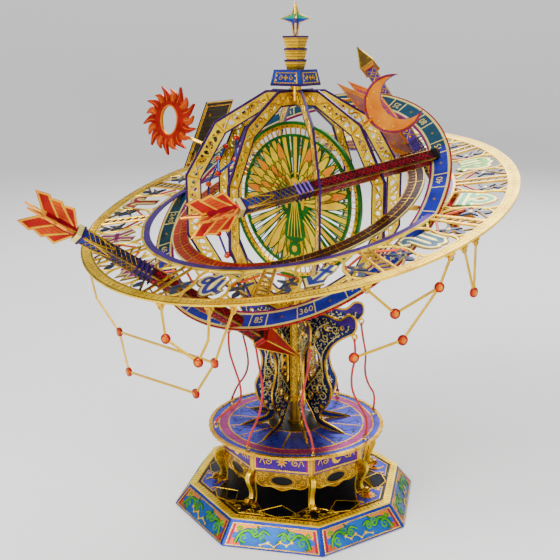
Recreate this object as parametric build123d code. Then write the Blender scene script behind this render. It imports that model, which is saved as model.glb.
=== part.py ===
from build123d import *
import os
from math import cos, sin, tan, radians, degrees, pi, sqrt

# An ornamental desk astrolabe folded and slotted together from enamelled sheet metal.
# Millimetres, +Z up, origin at the centre of the underside of the octagonal base.

# ---- driving dimensions ----
SHEET = 0.8                    # sheet thickness of every plate
SIDES = 8                      # sides of the base, drum, apron, legs, fins and cords
BASE_R = 60.0                  # corner radius of the base at the floor
BASE_TOP_R = 52.0              # corner radius of the plinth top
PLINTH_H = 10.6                # floor to plinth top face
DRUM_R = 36.0                  # corner radius of the drum
DRUM_BOTTOM = 27.0
DECK_TOP = 38.5
DECK_R = 40.4
RIM_R = 42.3
APRON_BOTTOM = 18.0
COLUMN_TOP = 92.0
COLUMN_R = 4.4                 # corner radius of the eight sided sleeve
CORE_R = 3.0
SPINDLE_R = 1.5
RUNNING_FIT = 0.06             # radial play of every turning shaft
FIN_EYE_R = 31.9               # radius and height of the eye on each fin's tip
FIN_EYE_Z = 86.9
EYE_R = 1.5                    # outer radius of the eyes that hold the cords
EYE_HOLE = 0.8
EYELET_R = 38.8                # radius at which the deck eyelets stand
CORD_D = 1.0
CORD_GAP = 0.25                # slack left for the loop at each end of a cord
CENTRE_Z = 146.0               # centre of the sphere
HOOP_R = 51.5                  # corner radius of the twelve sided hoops
HOOP_BAND = 7.3
HOOP_SIDES = 12
HUB_R = 2.4                    # boss on which the hoops close, top and bottom
ZODIAC = (99.0, 67.6)          # outer and inner radius of each ring
NUMERAL = (72.7, 63.0)
TICK = (59.2, 51.3)
ZODIAC_TILT = (14.5, -120.7)   # tilt from level, and the compass side that the face leans to
NUMERAL_TILT = (39.0, -117.6)
TICK_TILT = (22.6, -122.6)
DISC_R = 36.0
ARROW_TAIL = [(-83.0, -93.5, 157.4), (-24.0, -81.5, 151.6), (75.7, -12.5, 139.6)]
ARROW_TIP = [(9.4, -38.0, 84.9), (67.1, 3.7, 168.8), (17.3, 73.4, 213.4)]
ARROW_COLLAR = 50.0            # distance of the middle collar from the tail
ARROW_SHAFT = 4.6              # side of the square shaft
ARROW_HEAD = [22.0, 9.0, 20.0] # length of each head
FLETCH = 20.0                  # length of the feathers
CORNER = 360.0 / SIDES
CORNERS = [CORNER * (k + 0.5) for k in range(SIDES)]
CENTRE = Vector(0, 0, CENTRE_Z)
OUT = "parts"
os.makedirs("parts", exist_ok=True)


def save(name, shape):
    """Write one node, as one solid or as a group of separate solids."""
    pieces = shape if isinstance(shape, list) else [shape]
    solids = [solid for piece in pieces for solid in piece.solids()]
    body = solids[0] if len(solids) == 1 else Compound(children=solids)
    body.label = name
    export_step(body, os.path.join(OUT, name + ".step"))


def polar(radius, azimuth, z=0.0):
    return Vector(radius * cos(radians(azimuth)), radius * sin(radians(azimuth)), z)


def polygon_face(radius, sides, z=0.0, turn=0.5):
    """A regular polygon in a level plane, turned so that its flats face the axes."""
    step = 360.0 / sides
    points = [polar(radius, step * (k + turn), z) for k in range(sides)]
    return Face(Wire.make_polygon(points))


def prism(radius, sides, low, high, turn=0.5):
    return extrude(polygon_face(radius, sides, low, turn), high - low, dir=(0, 0, 1))


def tube(outer, inner, low, high, sides=None):
    if sides:
        return prism(outer, sides, low, high) - prism(inner, sides, low - 1, high + 1)
    height = high - low
    blank = Pos(0, 0, low) * Cylinder(outer, height, align=(Align.CENTER, Align.CENTER, Align.MIN))
    bore = Pos(0, 0, low - 1) * Cylinder(inner, height + 2,
                                         align=(Align.CENTER, Align.CENTER, Align.MIN))
    return blank - bore


def radial_plane(azimuth):
    """A plane through the vertical axis: local x runs outward and local y runs up."""
    out = polar(1, azimuth)
    return Plane(origin=(0, 0, 0), x_dir=out, z_dir=out.cross(Vector(0, 0, 1)))


def ring_plane(tilt):
    """A plane through the sphere's centre; its normal leans by tilt[0] towards tilt[1]."""
    lean, side = tilt
    normal = Vector(sin(radians(lean)) * cos(radians(side)),
                    sin(radians(lean)) * sin(radians(side)), cos(radians(lean)))
    across = Vector(-sin(radians(side)), cos(radians(side)), 0)
    return Plane(origin=CENTRE, x_dir=across, z_dir=normal)


def plate(face, plane, thickness=SHEET):
    """Raise a flat outline, drawn on XY, into a plate centred on the plane."""
    return plane * extrude(face, thickness / 2, both=True)


def outline(points):
    return Face(Wire.make_polygon([Vector(*p) for p in points]))


def bar(start, end, width):
    """A straight strip between two points on XY."""
    a = Vector(*start)
    b = Vector(*end)
    side = (b - a).normalized().rotate(Axis.Z, 90) * (width / 2)
    return Face(Wire.make_polygon([a + side, b + side, b - side, a - side]))


# ---- plinth ----
def plinth():
    outer = loft([polygon_face(BASE_R, SIDES), polygon_face(BASE_TOP_R, SIDES, PLINTH_H - SHEET)])
    wall = SHEET * 1.6
    inner = loft([polygon_face(BASE_R - wall, SIDES),
                  polygon_face(BASE_TOP_R - wall, SIDES, PLINTH_H - SHEET)])
    slope = (BASE_R - BASE_TOP_R) / (PLINTH_H - SHEET) * SHEET
    save("plinth_panels", outer - inner)
    save("base_plate", prism(BASE_R - wall - slope, SIDES, 0, SHEET))
    save("plinth_top", prism(BASE_TOP_R, SIDES, PLINTH_H - SHEET, PLINTH_H))


# ---- drum, apron, legs and deck ----
def cabriole_leg():
    """Side view of a leg: knee under the drum, slim ankle, scrolled foot."""
    shank = outline([(33.6, 26.9), (38.2, 26.9), (39.6, 24.0), (38.4, 19.8), (36.8, 16.4),
                     (37.4, 13.2), (40.2, 12.6), (40.2, PLINTH_H), (34.6, PLINTH_H),
                     (33.9, 14.4), (34.4, 18.4), (34.6, 22.4)])
    foot = Pos(39.6, PLINTH_H + 2.0) * Circle(2.0)
    return shank + foot


def drum_and_legs():
    save("drum_shell", tube(DRUM_R, DRUM_R - SHEET * 1.2, DRUM_BOTTOM, DECK_TOP - SHEET, SIDES))
    leg = cabriole_leg()
    legs = [plate(leg, radial_plane(a), 2.2) for a in CORNERS]
    save("cabriole_legs", legs)
    inradius = DRUM_R * cos(radians(CORNER / 2))
    half = DRUM_R * sin(radians(CORNER / 2)) - 1.9
    panel = outline([(-half, DRUM_BOTTOM), (-half, 21.0), (-half * 0.55, 19.4), (0, APRON_BOTTOM),
                     (half * 0.55, 19.4), (half, 21.0), (half, DRUM_BOTTOM)])
    window = Pos(0, 22.7) * Ellipse(5.2, 2.4)
    aprons = []
    for k in range(SIDES):
        out = polar(1, CORNER * k)
        plane = Plane(origin=out * (inradius - SHEET), x_dir=out.cross(Vector(0, 0, 1)) * -1,
                      z_dir=out)
        aprons.append(plate(panel - window, plane))
    save("drum_apron", aprons)
    deck = tube(DECK_R, CORE_R, DECK_TOP - SHEET, DECK_TOP)
    save("deck_plate", deck)
    teeth = 96
    edge = []
    for k in range(teeth):
        radius = RIM_R if k % 2 else RIM_R - 0.7
        edge.append(polar(radius, 360.0 * k / teeth, DECK_TOP - 0.9))
    rim = extrude(Face(Wire.make_polygon(edge)), 1.3, dir=(0, 0, 1))
    save("deck_rim", rim - Pos(0, 0, DECK_TOP) * Cylinder(DECK_R, 10))


def eye(radius, z, azimuth, low=None):
    """A flat ring that stands in a radial plane."""
    ring = Pos(radius, z) * (Circle(EYE_R) - Circle(EYE_HOLE))
    if low is not None:
        ring -= Pos(radius, low - 5) * Rectangle(10, 10)
    return plate(ring, radial_plane(azimuth), 0.6)


def deck_eyelets():
    height = DECK_TOP + EYE_R - 0.25
    save("cord_eyelets", [eye(EYELET_R, height, a, DECK_TOP) for a in CORNERS])


# ---- column ----
def column():
    sleeve_bottom = 49.0
    save("column_sleeve", tube(COLUMN_R, CORE_R + 0.45, sleeve_bottom, COLUMN_TOP, SIDES))
    bore = SPINDLE_R + RUNNING_FIT
    core = tube(CORE_R, bore, DECK_TOP - SHEET, COLUMN_TOP)
    collar = tube(COLUMN_R * cos(radians(CORNER / 2)) - 0.1, CORE_R - 0.5, DECK_TOP, DECK_TOP + 1.2)
    cap = tube(COLUMN_R + 0.2, bore, COLUMN_TOP, COLUMN_TOP + 1.6)
    save("column_core", core + collar)
    save("bearing_cap", cap)


# ---- the eight pierced fins ----
def fin_outline():
    """Side view of a fin: hooked scroll above, waist, lower lobe and spreading foot."""
    inside = 4.45
    with BuildSketch() as sketch:
        with BuildLine():
            Polyline((inside, 52.0), (inside, 88.5))
            Spline((inside, 88.5), (9.5, 93.6), (17.0, 94.6), (24.0, 93.4), (28.4, 96.4),
                   (32.2, 95.4), (32.8, 91.0), (31.0, 88.1))
            Spline((31.0, 88.1), (25.0, 84.4), (19.6, 79.4), (16.4, 72.0), (17.4, 65.0),
                   (19.8, 58.6), (18.0, 51.0), (13.6, 45.6), (14.6, 42.4), (22.0, 40.2),
                   (27.0, DECK_TOP))
            Polyline((27.0, DECK_TOP), (21.0, DECK_TOP))
            Spline((21.0, DECK_TOP), (12.4, 40.4), (9.4, 45.0), (inside, 52.0))
        make_face()
        with BuildLine(mode=Mode.PRIVATE) as window:
            Spline((7.2, 76.0), (10.6, 78.4), (12.6, 72.0), (11.4, 66.0), (7.4, 60.6),
                   (6.4, 68.0), periodic=True)
        add(make_face(window.edges()), mode=Mode.SUBTRACT)
    return sketch.sketch


def fins():
    blade = fin_outline() - Pos(20, DECK_TOP - 10) * Rectangle(60, 20)
    tip = Pos(FIN_EYE_R, FIN_EYE_Z) * Circle(EYE_R)
    hole = Pos(FIN_EYE_R, FIN_EYE_Z) * Circle(EYE_HOLE)
    for number, azimuth in enumerate(CORNERS, 1):
        save(f"fin_{number}", plate((blade + tip) - hole, radial_plane(azimuth)))


# ---- red cords: each a list of stations (outward, sideways, up) in its fin's plane ----
CORD_TOP = (FIN_EYE_R, 0.0, FIN_EYE_Z - EYE_R - CORD_GAP)
CORD_FOOT = (EYELET_R, 0.0, DECK_TOP + 2 * EYE_R + CORD_GAP)
CORD_ROUTES = [
    [CORD_TOP, (33.0, 0.6, 78.0), (34.4, -0.8, 70.6), (33.2, -2.4, 62.8), (35.4, -1.4, 55.0),
     (40.0, 0.2, 48.4), CORD_FOOT],
    [CORD_TOP, (32.6, -0.4, 77.6), (30.8, 0.8, 69.6), (31.6, 2.4, 61.4), (35.2, 1.8, 53.6),
     (38.6, 0.4, 47.6), CORD_FOOT],
    [CORD_TOP, (33.2, 0.4, 78.6), (33.4, 2.0, 71.0), (31.2, 2.6, 63.2), (32.6, 0.8, 55.6),
     (37.0, -0.4, 48.6), CORD_FOOT],
    [CORD_TOP, (31.6, 0.6, 78.4), (28.4, 1.4, 70.8), (27.6, 0.6, 62.4), (31.0, -0.8, 54.6),
     (36.4, -0.6, 48.2), CORD_FOOT],
    [CORD_TOP, (32.6, 2.2, 78.2), (30.4, 6.0, 70.4), (27.8, 8.4, 62.0), (27.6, 7.4, 53.4),
     (33.8, 2.6, 47.6), CORD_FOOT],
    [CORD_TOP, (32.4, 1.6, 77.8), (33.6, 4.8, 69.2), (35.6, 5.6, 60.4), (37.0, 3.8, 52.2),
     (38.4, 1.2, 46.8), CORD_FOOT],
    [CORD_TOP, (33.0, -0.8, 78.2), (34.6, -3.2, 70.0), (34.2, -4.6, 61.6), (36.8, -3.4, 53.8),
     (39.6, -1.0, 47.8), CORD_FOOT],
    [CORD_TOP, (33.2, -0.6, 78.4), (32.2, -2.8, 70.6), (33.4, -4.6, 62.8), (38.2, -4.2, 55.8),
     (40.6, -1.4, 48.8), CORD_FOOT],
]


def cord_points(route, azimuth):
    """Turn a cord's stations into points in space."""
    out = polar(1, azimuth)
    side = polar(1, azimuth + 90)
    return [out * r + side * s + Vector(0, 0, z) for r, s, z in route]


def cord_tube(points):
    """Straight runs joined by tangent arcs, each as large as its two runs allow."""
    radii = []
    for a, b, c in zip(points, points[1:], points[2:]):
        turn = (b - a).get_angle(c - b)
        run = min((b - a).length, (c - b).length)
        radii.append(0.45 * run / tan(radians(turn / 2)))
    path = FilletPolyline(*points, radius=radii)
    start = Plane(origin=points[0], z_dir=points[1] - points[0])
    solid = sweep(start * Circle(CORD_D / 2), path=path)
    section = pi * CORD_D ** 2 / 4
    smallest = min(radii)
    error = solid.volume / (section * path.length) - 1
    print(f"cord: length {path.length:.1f} smallest bend {smallest:.1f} volume error {error:.4f}")
    print("   bends", " ".join(f"{r:.0f}" for r in radii))
    return solid


def cords():
    for number, (route, azimuth) in enumerate(zip(CORD_ROUTES, CORNERS), 1):
        save(f"cord_{number}", cord_tube(cord_points(route, azimuth)))


# ---- arrows ----
def arrow_frame(number):
    """Local z runs from the tail to the tip."""
    tail = Vector(*ARROW_TAIL[number])
    tip = Vector(*ARROW_TIP[number])
    along = (tip - tail).normalized()
    side = Vector(0, 0, 1).cross(along).normalized()
    return Plane(origin=tail, x_dir=side, z_dir=along), (tip - tail).length


def square_bar(side, low, high):
    """A square bar with its corners up and down, along local z."""
    return prism(side / sqrt(2), 4, low, high, turn=0)


def arrow_head(number, length, play=0.0):
    """A four sided point that flares out of the shaft, along local z."""
    head = ARROW_HEAD[number]
    neck = length - head
    wide = min(5.5, head * 0.4) + play
    root = ARROW_SHAFT / sqrt(2) + play
    flare = loft([polygon_face(root, 4, neck, 0), polygon_face(wide, 4, neck + 2, 0)])
    return flare + loft([polygon_face(wide, 4, neck + 2, 0), polygon_face(0.3, 4, length, 0)])


def arrow_parts(number):
    frame, length = arrow_frame(number)
    head = ARROW_HEAD[number]
    neck = length - head
    shaft = square_bar(ARROW_SHAFT, FLETCH, neck)
    shaft += square_bar(ARROW_SHAFT + 1.2, ARROW_COLLAR - 3, ARROW_COLLAR + 3)
    shaft -= square_bar(ARROW_SHAFT - 2 * SHEET, FLETCH - 1, neck + 1)
    reach = ARROW_SHAFT / 2
    vane = outline([(0, FLETCH), (reach, FLETCH), (9.0, 4.0), (8.6, 0.0), (reach, 8.0), (0, 8.0)])
    vanes = Sketch() + vane + mirror(vane, about=Plane.YZ)
    blade = plate(vanes, Plane(origin=(0, 0, 0), x_dir=(1, 0, 0), z_dir=(0, -1, 0)))
    cross = blade + Rot(0, 0, 90) * blade
    return frame * shaft, frame * arrow_head(number, length), frame * cross


def arrow_opening(number):
    """The hole that an arrow's shaft needs in the plates it passes through."""
    frame, length = arrow_frame(number)
    shaft = square_bar(ARROW_SHAFT + 0.1, FLETCH, length - ARROW_HEAD[number])
    collar = square_bar(ARROW_SHAFT + 1.3, ARROW_COLLAR - 3.1, ARROW_COLLAR + 3.1)
    return frame * (shaft + collar + arrow_head(number, length, 0.1))


# ---- sphere cage ----
HOOP_AZIMUTHS = [22.5, -30.0, -67.5, 67.5]


def hoop_plane(azimuth):
    out = polar(1, azimuth)
    return Plane(origin=CENTRE, x_dir=out, z_dir=out.cross(Vector(0, 0, 1)))


def hoop_blank(azimuth):
    outer = polygon_face(HOOP_R, HOOP_SIDES)
    inner = polygon_face(HOOP_R - HOOP_BAND, HOOP_SIDES)
    return plate(outer - inner, hoop_plane(azimuth))


def hoops(openings):
    hub = Pos(0, 0, CENTRE_Z) * Cylinder(HUB_R, 3 * HOOP_R)
    made = []
    for number, azimuth in enumerate(HOOP_AZIMUTHS, 1):
        hoop = hoop_blank(azimuth) - hub
        for hole in openings:
            hoop = hoop - hole
        made.append(hoop)
        save(f"cage_hoop_{number}", hoop)
    return made


# ---- flat rings ----
def annulus(radii):
    return Circle(radii[0]) - Circle(radii[1])


SIGN_PHASE = 2.9  # degrees from the ring's level line to its first rib


def zodiac_sketch():
    """Two bands, ribs, and in every sector a plate that carries its sign."""
    outer_band = annulus((ZODIAC[0], 93.8))
    inner_band = annulus((71.6, ZODIAC[1]))
    sketch = outer_band + inner_band
    sector = 30.0
    for k in range(12):
        turn = Rot(0, 0, sector * k + SIGN_PHASE)
        sketch += turn * (Pos(82.7, 2.4) * Rectangle(24.0, 1.2))
        sketch += turn * (Pos(82.7, -2.4) * Rectangle(24.0, 1.2))
        sketch += turn * Rot(0, 0, sector / 2) * (Pos(82.7, 0) * Rectangle(24.0, 17.0))
    return sketch


def pin_bracket(point, along, up):
    """A hinge pin between two ears that rise to the ring; along is the pin's direction."""
    pin = Plane(origin=point - along * 2.0, z_dir=along) * Cylinder(
        0.45, 4.0, align=(Align.CENTER, Align.CENTER, Align.MIN))
    ears = []
    for side in (-1, 1):
        foot = Plane(origin=point + along * (1.6 * side), x_dir=along, z_dir=up)
        ears.append(foot * Pos(0, 0, 0.6) * Box(0.8, 1.6, 2.4))
    return pin + ears[0] + ears[1]


# ---- constellation pendants: hooks on the zodiac ring, stations (along, down) between them ----
HOOK_R = 96.4
HOOK_DROP = 2.2
PENDANTS = {
    "pendant_left": {
        "hooks": ((-163.6, 100), (-93.0, 100)),
        "stars": [(-2.6, 4.6), (25.4, 32.9), (32.5, 49.6), (84.3, 42.3), (97.2, 25.3)],
        "kinks": [(5.6, 22.2)],
        "lines": [(0, "k0"), ("k0", 1), (1, 2), (2, 3), (3, 4), (4, "h1"), (1, 4), (0, "h0")],
    },
    "pendant_front": {
        "hooks": ((-112.5, 100), (-98.9, 100)),
        "stars": [(1.0, 13.8), (15.2, 21.8)],
        "kinks": [(20.6, 12.6)],
        "lines": [("h0", 0), (0, 1), (1, "k0"), ("k0", "h1")],
    },
    "pendant_right": {
        "hooks": ((-63.6, 100), (-42.2, 100)),
        "stars": [(9.4, 14.2), (29.6, 10.8), (10.4, 25.5), (-10.5, 24.6)],
        "kinks": [],
        "lines": [("h0", 0), (0, 1), (1, "h1"), (1, 2), (2, 3)],
    },
    "pendant_drop": {
        "hooks": ((-37.8, 100), (-33.6, 100)),
        "stars": [(2.6, 20.5)],
        "kinks": [],
        "lines": [("h0", 0), ("h1", 0)],
    },
}


def hook_point(azimuth):
    """The point under the zodiac ring's outer band at a compass azimuth."""
    plane = ring_plane(ZODIAC_TILT)
    out = polar(1, azimuth)
    lift = -(plane.z_dir.X * out.X + plane.z_dir.Y * out.Y) / plane.z_dir.Z
    along = Vector(out.X, out.Y, lift).normalized()
    return CENTRE + along * HOOK_R - plane.z_dir * HOOK_DROP


def pendant(name):
    """Strips and stars in a hanging plane, with a barrel round each hinge pin."""
    data = PENDANTS[name]
    start = hook_point(data["hooks"][0][0])
    end = hook_point(data["hooks"][1][0])
    along = (end - start).normalized()
    down = (Vector(0, 0, -1) - along * Vector(0, 0, -1).dot(along)).normalized()
    plane = Plane(origin=start, x_dir=along, z_dir=along.cross(down))
    span = (end - start).length
    places = {"h0": (0, 0.8), "h1": (span, 0.8)}
    for number, star in enumerate(data["stars"]):
        places[number] = star
    for number, kink in enumerate(data["kinks"]):
        places[f"k{number}"] = kink
    sketch = Sketch()
    for a, b in data["lines"]:
        sketch += bar(places[a], places[b], 1.1)
    for kink in data["kinks"]:
        sketch += Pos(*kink) * Circle(0.55)
    body = plane * extrude(sketch, 0.35, both=True)
    for star in data["stars"]:
        body += plane * extrude(Pos(*star) * Circle(2.0), 0.7, both=True)
    for point in (start, end):
        axis_plane = Plane(origin=point - along * 1.0, z_dir=along)
        barrel = Cylinder(0.95, 2.0, align=(Align.CENTER, Align.CENTER, Align.MIN))
        body += axis_plane * barrel
    for point in (start, end):
        axis_plane = Plane(origin=point - along * 3.0, z_dir=along)
        bore = Cylinder(0.45 + RUNNING_FIT, 6.0, align=(Align.CENTER, Align.CENTER, Align.MIN))
        body -= axis_plane * bore
    print(name, "pivot", [round(v, 2) for v in start], "axis", [round(v, 5) for v in along])
    save(name, body)
    return start, end, along


def rings(hoop_solids, openings):
    zodiac = plate(zodiac_sketch(), ring_plane(ZODIAC_TILT))
    numeral = plate(annulus(NUMERAL), ring_plane(NUMERAL_TILT))
    tick = plate(annulus(TICK), ring_plane(TICK_TILT))
    lug = Pos((TICK[0] + NUMERAL[1]) / 2 - 0.3, 0) * Rectangle(NUMERAL[1] - TICK[0] + 1.0, 3.0)
    node = 8.0
    lugs = Rot(0, 0, node) * lug + Rot(0, 0, node + 180) * lug
    tick += plate(lugs, ring_plane(TICK_TILT))
    tick -= plate(annulus((NUMERAL[0] + 1, NUMERAL[1] - 0.02)), ring_plane(NUMERAL_TILT), 2.4)
    for hoop in hoop_solids:
        tick = tick - hoop
    for hole in openings:
        tick = tick - hole
        zodiac = zodiac - hole
        numeral = numeral - hole
    zodiac -= plate(annulus((NUMERAL[0] + 0.05, NUMERAL[1])), ring_plane(NUMERAL_TILT), 1.0)
    up = ring_plane(ZODIAC_TILT).z_dir
    for name in PENDANTS:
        start, end, along = pendant(name)
        zodiac = zodiac + pin_bracket(start, along, up) + pin_bracket(end, along, up)
    save("zodiac_ring", zodiac)
    save("numeral_ring", numeral)
    save("tick_ring", tick)
    return [zodiac, numeral, tick]


# ---- spindle, central disc and finial ----
def turning_centre():
    thrust = COLUMN_TOP + 1.6 + 0.05
    bottom = CENTRE_Z - HOOP_R * cos(radians(180 / HOOP_SIDES)) + HOOP_BAND
    spindle = Pos(0, 0, 62) * Cylinder(SPINDLE_R, thrust - 62 + 1,
                                       align=(Align.CENTER, Align.CENTER, Align.MIN))
    boss = Pos(0, 0, thrust) * Cylinder(HUB_R, bottom + 2.0 - thrust,
                                        align=(Align.CENTER, Align.CENTER, Align.MIN))
    socket_top = bottom + 2.0
    socket = Pos(0, 0, socket_top - 6.0) * Cylinder(0.8 + RUNNING_FIT, 8.0, align=(
        Align.CENTER, Align.CENTER, Align.MIN))
    save("spindle", spindle + boss - socket)
    pin = Pos(0, 0, socket_top - 5.9) * Cylinder(0.8, 7.0, align=(
        Align.CENTER, Align.CENTER, Align.MIN))
    disc_low = CENTRE_Z - DISC_R
    foot = Pos(0, 0, socket_top + 0.05) * Cylinder(2.2, disc_low - socket_top - 0.05, align=(
        Align.CENTER, Align.CENTER, Align.MIN))
    save("disc_pivot", pin + foot)
    face = Circle(DISC_R) - Circle(DISC_R - 3.2)
    face += Circle(DISC_R - 5.6) - Circle(DISC_R - 7.2)
    face += Circle(12.0)
    for k in range(16):
        face += Rot(0, 0, 22.5 * k) * (Pos(DISC_R / 2 + 4, 0) * Rectangle(DISC_R - 10, 1.6))
    disc = plate(face, hoop_plane(-26.6), 1.6)
    save("central_disc", disc - Pos(0, 0, disc_low - 5) * Box(20, 20, 10.6))


def finial():
    low = CENTRE_Z + HOOP_R * cos(radians(180 / HOOP_SIDES)) - HOOP_BAND
    flat = CENTRE_Z + HOOP_R
    boss = Pos(0, 0, low) * Cylinder(HUB_R, flat - low + 0.6, align=(
        Align.CENTER, Align.CENTER, Align.MIN))
    box = loft([polygon_face(11.4, 4, flat, 0.25), polygon_face(9.6, 4, 204.4, 0.25)])
    save("finial_pedestal", boss + box)
    tiers = []
    level = 204.4
    for wide, narrow, height in ((5.0, 3.8, 4.2), (5.2, 4.0, 4.8), (5.8, 4.2, 5.2)):
        tiers.append(loft([polygon_face(narrow, 4, level, 0.25),
                           polygon_face(wide, 4, level + height, 0.25)]))
        level += height
    save("finial_column", tiers[0] + tiers[1] + tiers[2])
    half = 6.6
    middle = level + 7.2
    waist = 1.7
    star = outline([(0, 232.6), (waist, middle + waist), (half, middle), (waist, middle - waist),
                    (0.9, level), (-0.9, level), (-waist, middle - waist), (-half, middle),
                    (-waist, middle + waist)])
    blade = plate(star, radial_plane(11.0))
    other = plate(star, radial_plane(101.0))
    save("finial_star", blade + other)


# ---- sun, moon, chart sheets and star chains outside and inside the cage ----
def facing(origin, normal):
    """A plane that faces along normal, with its local y as near to up as can be."""
    out = Vector(*normal).normalized()
    return Plane(origin=origin, x_dir=Vector(0, 0, 1).cross(out), z_dir=out)


def sheet(corner, along, across, thickness=SHEET):
    """A flat sheet from one corner and the two corners beside it."""
    a, b, d = Vector(*corner), Vector(*along), Vector(*across)
    normal = (b - a).cross(d - a).normalized()
    return extrude(Face(Wire.make_polygon([a, b, b + d - a, d])), thickness, dir=normal)


def stem(start, azimuth, height, hoop_solids):
    """A strip from an ornament to the outer edge of the nearest hoop."""
    a = Vector(*start)
    out = polar(cos(radians(height)), azimuth, sin(radians(height)))
    b = CENTRE + out * (HOOP_R - 2)
    strip = Plane(origin=(a + b) / 2, z_dir=b - a) * Box(1.4, 1.4, (b - a).length)
    for hoop in hoop_solids:
        strip = strip - hoop
    return max(strip.solids(), key=lambda piece: (piece.center() - b).length)


def ornaments(hoop_solids, plates):
    rays = 24
    points = []
    for k in range(rays * 2):
        radius = 15.0 if k % 2 else 10.6
        points.append(polar(radius, 180.0 * k / rays))
    sun = Face(Wire.make_polygon(points)) - Ellipse(5.2, 7.4)
    sun_plate = plate(sun, facing((-54.6, -12.0, 182.8), (-0.35, -0.9, 0.1)), 1.6)
    save("sun_dish", sun_plate + stem((-48.6, -14.0, 176.5), -157.5, 33.0, hoop_solids))
    crescent = Circle(13.2) - Pos(5.0, 3.6) * Circle(10.6)
    moon_plate = plate(crescent, facing((43.4, -3.4, 190.2), (0.16, -0.95, 0.24)), 1.6)
    moon_stem = stem((35.2, -5.5, 184.2), -30.0, 45.0, hoop_solids)
    save("moon_crescent", moon_plate + moon_stem)
    front = sheet((15.6, 17.2, 197.9), (30.4, 20.4, 191.6), (42.6, 23.0, 166.2))
    back = sheet((20.0, 21.6, 198.6), (33.6, 25.4, 193.4), (43.0, 26.4, 170.0))
    card = sheet((-42.6, 4.6, 189.8), (-53.6, 2.4, 159.8), (-36.4, 27.9, 189.8))
    sheets = []
    for piece in (front, back, card):
        for other in plates:
            piece = piece - other
        sheets.append(max(piece.solids(), key=lambda solid: solid.volume))
    save("chart_sheet_right", sheets[0] + stem((38.0, 22.0, 178.0), 22.5, 38.0, hoop_solids))
    save("chart_sheet_back", sheets[1] + stem((28.0, 24.3, 190.0), 67.5, 62.0, hoop_solids))
    save("chart_card_left", sheets[2] + stem((-50.5, 12.0, 168.0), -157.5, 12.0, hoop_solids))


def star_chains():
    """Small flat chains of stars that hug the inside of the cage."""
    chains = [
        [(-150, 47), (-128, 33), (-143, 22), (-160, 30)],
        [(-172, 38), (-165, 12), (-170, -4), (-158, -6)],
        [(-140, -16), (-146, -34), (-136, -30), (-130, -38)],
    ]
    shell = 40.2
    solids = []
    for chain in chains:
        body = None
        spots = []
        for azimuth, height in chain:
            out = polar(cos(radians(height)), azimuth, sin(radians(height)))
            spots.append((CENTRE + out * shell, out))
        for (a, out_a), (b, out_b) in zip(spots, spots[1:]):
            mid = (out_a + out_b).normalized()
            strip = Plane(origin=(a + b) / 2, x_dir=b - a, z_dir=mid) * Box((b - a).length, 1.2, 0.6)
            body = strip if body is None else body + strip
        for spot, out in spots:
            body += Plane(origin=spot, z_dir=out) * Cylinder(1.5, 1.0)
        solids.append(body)
    save("star_chains", solids)


def main():
    plinth()
    drum_and_legs()
    deck_eyelets()
    column()
    fins()
    cords()
    openings = []
    for number in range(3):
        shaft, head, feathers = arrow_parts(number)
        save(f"arrow_{number + 1}_shaft", shaft)
        save(f"arrow_{number + 1}_head", head)
        save(f"arrow_{number + 1}_feathers", feathers)
        openings.append(arrow_opening(number))
    hoop_solids = hoops(openings)
    plates = rings(hoop_solids, openings)
    turning_centre()
    finial()
    ornaments(hoop_solids, plates + openings)
    star_chains()


main()
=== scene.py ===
from math import atan2, cos, degrees, pi, radians, sin, sqrt, tan, tau

import bmesh
import bpy
from mathutils import Matrix, Vector
from mathutils.geometry import tessellate_polygon


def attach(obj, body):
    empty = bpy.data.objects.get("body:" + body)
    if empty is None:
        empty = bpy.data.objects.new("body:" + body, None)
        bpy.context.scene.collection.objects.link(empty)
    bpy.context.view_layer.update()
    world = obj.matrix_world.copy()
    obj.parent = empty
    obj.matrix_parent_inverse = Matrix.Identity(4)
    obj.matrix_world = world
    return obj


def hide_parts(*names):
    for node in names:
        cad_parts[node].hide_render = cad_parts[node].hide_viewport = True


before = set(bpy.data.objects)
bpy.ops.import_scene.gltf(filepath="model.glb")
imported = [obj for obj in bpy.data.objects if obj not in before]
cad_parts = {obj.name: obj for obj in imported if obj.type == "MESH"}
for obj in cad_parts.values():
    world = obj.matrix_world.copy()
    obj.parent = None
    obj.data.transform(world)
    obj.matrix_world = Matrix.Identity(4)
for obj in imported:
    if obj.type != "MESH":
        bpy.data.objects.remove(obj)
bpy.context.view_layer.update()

# An ornamental desk astrolabe of enamelled and gold plated sheet. Shapes are drawn in millimetres
# on planes that carry the scale to metres. The frame is the CAD model's: +Z up, -Y front.
MM = 0.001
SIDES = 8
CORNER = 360 / SIDES
CORNERS = [CORNER * (k + 0.5) for k in range(SIDES)]
FLAT = cos(radians(CORNER / 2))      # an octagon's distance to its sides, for a radius of 1
HALF_SIDE = sin(radians(CORNER / 2))
BASE_R, BASE_TOP_R, PLINTH_H = 60.0, 52.0, 10.6
DRUM_R, DRUM_BOTTOM, DECK_TOP, DECK_R, RIM_R = 36.0, 27.0, 38.5, 40.4, 42.3
COLUMN_R, COLUMN_TOP, SLEEVE_BOTTOM = 4.4, 92.0, 49.0
APRON_BOTTOM, FINIAL_TOP = 18.0, 232.5
CENTRE_Z = 146.0
CENTRE = Vector((0, 0, CENTRE_Z))
HOOP_R, HOOP_BAND, HOOP_SIDES = 51.5, 7.3, 12
HOOP_AZIMUTHS = [22.5, -30.0, -67.5, 67.5]
ZODIAC, NUMERAL, TICK = (99.0, 67.6), (72.7, 63.0), (59.2, 51.3)
ZODIAC_TILT, NUMERAL_TILT, TICK_TILT = (14.5, -120.7), (39.0, -117.6), (22.6, -122.6)
DISC_R, DISC_AZIMUTH = 36.0, -26.6
FIN_EYE_R, FIN_EYE_Z, EYE_R = 31.9, 86.9, 1.5
EYELET_R, CORD_D, CORD_GAP = 38.8, 1.0, 0.25
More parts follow.
